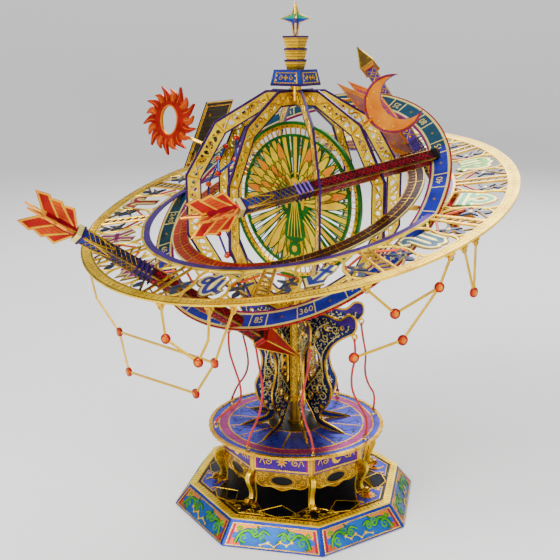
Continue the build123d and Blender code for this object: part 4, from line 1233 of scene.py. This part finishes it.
def drum():
    piece = Piece("drum_panels", level())
    height = DECK_TOP - 0.8 - DRUM_BOTTOM
    wall = [polygon(DRUM_R - 0.15, SIDES), polygon(DRUM_R - 1.0, SIDES)]
    piece.plate(wall, DRUM_BOTTOM, DRUM_BOTTOM + height, "violet")
    reach, half = (DRUM_R - 0.15) * FLAT, DRUM_R * HALF_SIDE
    for k in range(SIDES):
        side = Piece("side", facet(k, reach, DRUM_BOTTOM))
        wide = half - 1.3
        border = [(-wide, 0.9), (wide, 0.9), (wide, height - 0.8), (-wide, height - 0.8)]
        side.strip(border, 0.8, -0.1, 0.25, "gold", None, True)
        for hand in (-1, 1):
            post, inner = hand * (half - 0.35), hand * (half - 2.3)
            side.strip([(post, 0.1), (post, height - 0.1)], 0.7, -0.1, 0.2, "gold")
            side.strip([(inner, 1.4), (inner, height - 1.3)], 0.6, -0.1, 0.16, "magenta")
            side.strip(curl(1.7, 1.3, 90, hand, (6.2 * hand, 5.2), 16), 0.45, -0.1, 0.24, "gold")
            wave = smooth(flipped([(7.8, 3.6), (9.0, 6.6), (10.2, 4.2)], hand), 4)
            side.strip(wave, 0.4, -0.1, 0.22, "gold")
            side.plate([star(0.8, 0.35, 5, 90, (3.6 * hand, 6.6))], -0.1, 0.22, "gold")
        if k % 2:
            small_moon = [(x * 0.2, 5.2 + y * 0.2) for x, y in crescent()]
            side.plate([small_moon], -0.1, 0.26, "gold")
        else:
            side.plate([star(2.8, 1.1, 8, 90, (0, 5.3))], -0.1, 0.26, "gold")
            side.plate([circle(0.9, 14, (0, 5.3))], -0.1, 0.36, "amber")
        piece.merge(side)
    return piece.done("stand", ["drum_shell"])


def apron():
    piece = Piece("drum_apron_filigree", level())
    reach, half = DRUM_R * FLAT - 0.8, DRUM_R * HALF_SIDE - 1.9
    left = [(-half, DRUM_BOTTOM), (-half, 21.4), (-half * 0.72, 19.4), (-half * 0.4, 19.6)]
    edge = smooth([*left, (0, APRON_BOTTOM), *flipped(reversed(left), -1)], 3)
    middle = (0, 22.7)
    oval = ellipse(5.2, 2.4, 28, middle)
    scrolls = ((7.6, 25.2, 1.5, 90), (9.4, 22.8, 1.6, 200), (7.4, 20.8, 1.2, 300), (10.6, 25.6, 1.0, 40),
               (2.6, 26.0, 0.9, 0))
    stalk = [(1.0, 19.4), (3.6, 19.9), (6.0, 19.8), (8.6, 20.6)]
    for k in range(SIDES):
        side = Piece("side", facet(k, reach, 0))
        side.slab([edge, oval], 0.3, "dark_gold")
        side.plate([oval], -0.25, 0.1, "black")
        side.strip(oval, 0.7, -0.4, 0.5, "dark_gold", None, True)
        side.strip(ellipse(6.0, 3.1, 28, middle), 0.35, 0.1, 0.45, "gold", None, True)
        side.strip(edge[1:-1], 0.6, -0.4, 0.45, "gold")
        for hand in (-1, 1):
            for x, y, size, start in scrolls:
                side.strip(curl(size, 1.3, start, hand, (x * hand, y), 14), 0.42, 0.1, 0.5, "gold")
            side.strip(smooth(flipped(stalk, hand), 4), 0.4, 0.1, 0.5, "pale_gold")
        piece.merge(side)
    return piece.done("stand", ["drum_apron"])


def legs():
    piece = Piece("cabriole_legs_scrolled", level())
    outline = smooth([(33.8, 26.8), (38.0, 26.8), (39.8, 24.6), (39.3, 21.8), (37.8, 18.8), (36.9, 16.2),
                      (37.2, 14.0), (38.4, 12.9), (38.2, 10.8), (34.9, 10.8), (34.0, 14.4), (34.5, 18.4),
                      (34.7, 22.6)], 4, True)
    for azimuth in CORNERS:
        leg = Piece("leg", radial_plane(azimuth))
        leg.slab([outline], 0.8, "gold")
        leg.rib(outline, 0.7, 1.05, "pale_gold", None, True)
        leg.rib(curl(1.75, 1.5, 180, -1, (39.6, PLINTH_H + 2.0), 20), 0.75, 1.1, "gold")
        leg.rib(curl(1.5, 1.2, 90, 1, (37.3, 24.4), 16), 0.5, 1.15, "dark_gold")
        vein = smooth([(36.6, 22.2), (36.3, 20.0), (35.7, 17.4), (35.6, 14.4)], 4)
        leg.rib(vein, 0.5, 1.0, "dark_gold")
        piece.merge(leg)
    return piece.done("stand", ["cabriole_legs"])


# ---- plinth ----
def plinth_panels():
    piece = Piece("plinth_panels_vines", level())
    rise = PLINTH_H - 0.8
    run = (BASE_R - BASE_TOP_R) * FLAT
    slope = sqrt(rise ** 2 + run ** 2)
    low_half, top_half = BASE_R * HALF_SIDE, BASE_TOP_R * HALF_SIDE

    def across(share, up, inset=0.0):
        """A point on the panel: share of its half width, and height up the slope."""
        width = low_half + (top_half - low_half) * up / slope
        return share * (width - inset), up

    plate = [across(-1, 0.5), across(1, 0.5), across(1, slope), across(-1, slope)]
    field = [across(share, up, 1.6)
             for share, up in ((-1, 1.2), (1, 1.2), (1, slope - 1.5), (-1, slope - 1.5))]
    lobe = [(14.6, slope - 4.4), (12.4, slope - 3.2), (8.0, slope - 2.9), (5.0, slope - 2.0)]
    vine_line = [(17.0, 2.4), (15.0, 6.4), (11.2, 8.2), (8.0, 5.6), (4.8, 8.4), (1.6, 6.8)]
    tendrils = ((13.2, 4.8, 2.0, 60, 1), (8.4, 8.0, 1.6, 240, -1), (5.0, 6.2, 1.5, 90, 1),
                (15.6, 8.4, 1.3, 0, -1))
    for k in range(SIDES):
        side = Piece("side", facet(k, BASE_R * FLAT, 0, run / rise))
        side.plate([plate], -0.6, -0.05, "royal")
        side.plate([field], -0.1, 0.04, "sky")
        side.strip(field, 0.5, -0.1, 0.18, "gold", None, True)
        for hand in (-1, 1):
            ends = ((1.4, 2.0), (slope - 1.7, 2.0), (slope - 1.7, 3.0), (1.4, 3.0))
            side.plate([[across(hand, up, inset) for up, inset in ends]], 0.0, 0.1, "crimson")
            lobed = [across(hand, slope - 1.9, 3.2), across(hand, slope - 5.4, 3.4), *flipped(lobe, hand)]
            side.plate([smooth(lobed, 3)], 0.0, 0.12, "amber")
            corner = [across(hand, 1.6, 3.2), across(hand, 4.4, 3.4), (hand * 16.2, 3.2), (hand * 14.4, 1.7)]
            side.plate([smooth(corner, 3)], 0.0, 0.12, "orange")
            vine = smooth(flipped(vine_line, hand), 5)
            # The wider black strip under each vine is painted shadow along the vine's edges; the green vine
            # strip lies on it.
            side.strip(vine, 1.7, 0.0, 0.16, "black", end_width=1.2)
            side.strip(vine, 1.2, 0.0, 0.26, "leaf", end_width=0.8)
            for x, y, size, start, way in tendrils:
                tendril = curl(size, 1.2, start * hand, way * hand, (x * hand, y), 14)
                side.strip(tendril, 0.9, 0.0, 0.26, "leaf", end_width=0.6)
            for x, y, angle in ((11.0, 6.6, 40), (6.6, 8.8, 120), (14.6, 3.4, 300), (3.2, 5.2, 220)):
                c, s = cos(radians(angle)), sin(radians(angle))
                leaf = [tuple(Vector((x * hand, y)) + Vector((u * c - v * s, u * s + v * c)))
                        for u, v in ((0, 0), (0.9, 0.55), (2.1, 0.1), (0.9, -0.5))]
                side.plate([smooth(leaf, 3, True)], 0.0, 0.24, "green")
        spots = [(-5.4, 2.4), (-2.0, 3.6), (0.8, 2.2), (3.4, 4.4), (6.4, 3.2), (8.6, 4.8)]
        if k % 2:
            spots = [(-x, y + 0.4) for x, y in spots]
        side.strip(spots, 0.4, 0.0, 0.3, "yellow")
        for number, spot in enumerate(spots):
            side.plate([star(1.0 if number % 2 else 0.7, 0.4, 5, 90, spot)], 0.0, 0.36, "yellow")
        piece.merge(side)
    return piece.done("stand", ["plinth_panels"])


def plinth_top():
    piece = Piece("plinth_top_inlaid", level(PLINTH_H))
    piece.plate([polygon(BASE_TOP_R - 0.1, SIDES)], -0.75, -0.2, "black")
    piece.plate([polygon(BASE_TOP_R, SIDES), polygon(BASE_TOP_R - 3.0, SIDES)], -0.75, 0.0, "pale_gold")
    piece.plate([polygon(BASE_TOP_R - 3.0, SIDES), polygon(BASE_TOP_R - 3.6, SIDES)], -0.4, 0.1, "gold")
    reach = (BASE_TOP_R - 3.6) * FLAT
    middle = 40.4
    kite = [(reach - 0.6, 0), (middle, 9.6), (33.0, 0), (middle, -9.6)]
    panel = [(46.6, 0), (42.2, 11.0), (38.6, 7.0), (33.6, 0), (38.6, -7.0), (42.2, -11.0)]
    small_moon = [(middle + x * 0.32, y * 0.32) for x, y in crescent()]
    stalk = [(45.4, 0.4), (43.4, 5.6), (41.8, 9.6)]
    for k in range(SIDES):
        turn = turned(CORNER * k)
        for step in range(-8, 9):
            hatch = [(reach + 0.8, 2.1 * step), (reach + 2.6, 2.1 * step)]
            piece.strip(hatch, 0.5, -0.3, 0.08, "dark_gold", turn)
        piece.plate([kite], -0.3, 0.05, "mirror", turn)
        piece.strip(kite, 0.5, -0.3, 0.14, "gold", turn, True)
        turn = turned(CORNERS[k])
        piece.strip(panel, 0.5, -0.3, 0.12, "gold", turn, True)
        if k in (5, 6):
            for hand in (-1, 1):
                for x, y, size in ((43.0, 3.4, 2.2), (middle, 8.0, 1.8), (38.4, 2.6, 1.8)):
                    scroll = curl(size, 1.4, 90 * hand, hand, (x, y * hand), 16)
                    piece.strip(scroll, 0.4, -0.3, 0.1, "gold", turn)
                piece.strip(smooth(flipped(stalk, 1, hand), 4), 0.4, -0.3, 0.1, "dark_gold", turn)
            continue
        piece.plate([panel], -0.3, 0.0, "peri", turn)
        if k % 2:
            piece.plate([star(4.2, 2.3, 12, 0, (middle, 0))], -0.2, 0.18, "gold", turn)
            piece.plate([circle(1.8, 24, (middle, 0))], -0.2, 0.3, "amber", turn)
        else:
            piece.plate([small_moon], -0.2, 0.2, "gold", turn)
        for hand in (-1, 1):
            piece.plate([star(1.2, 0.5, 4, 0, (42.0, 7.6 * hand))], -0.2, 0.16, "gold", turn)
    return piece.done("stand", ["plinth_top"])


def keep_with(node, finish_name):
    """A CAD node whose shape is right keeps it, and takes a finish."""
    node_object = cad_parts[node]
    node_object.data.materials.clear()
    node_object.data.materials.append(FINISH[finish_name])


for name in PENDANTS:
    pendant(name)
deck()
deck_rim()
eyelets()
drum()
apron()
legs()
plinth_panels()
plinth_top()
for node, finish_name in (("base_plate", "steel"), ("column_core", "dark_gold"), ("bearing_cap", "gold"),
                          ("spindle", "gold"), ("disc_pivot", "gold")):
    keep_with(node, finish_name)
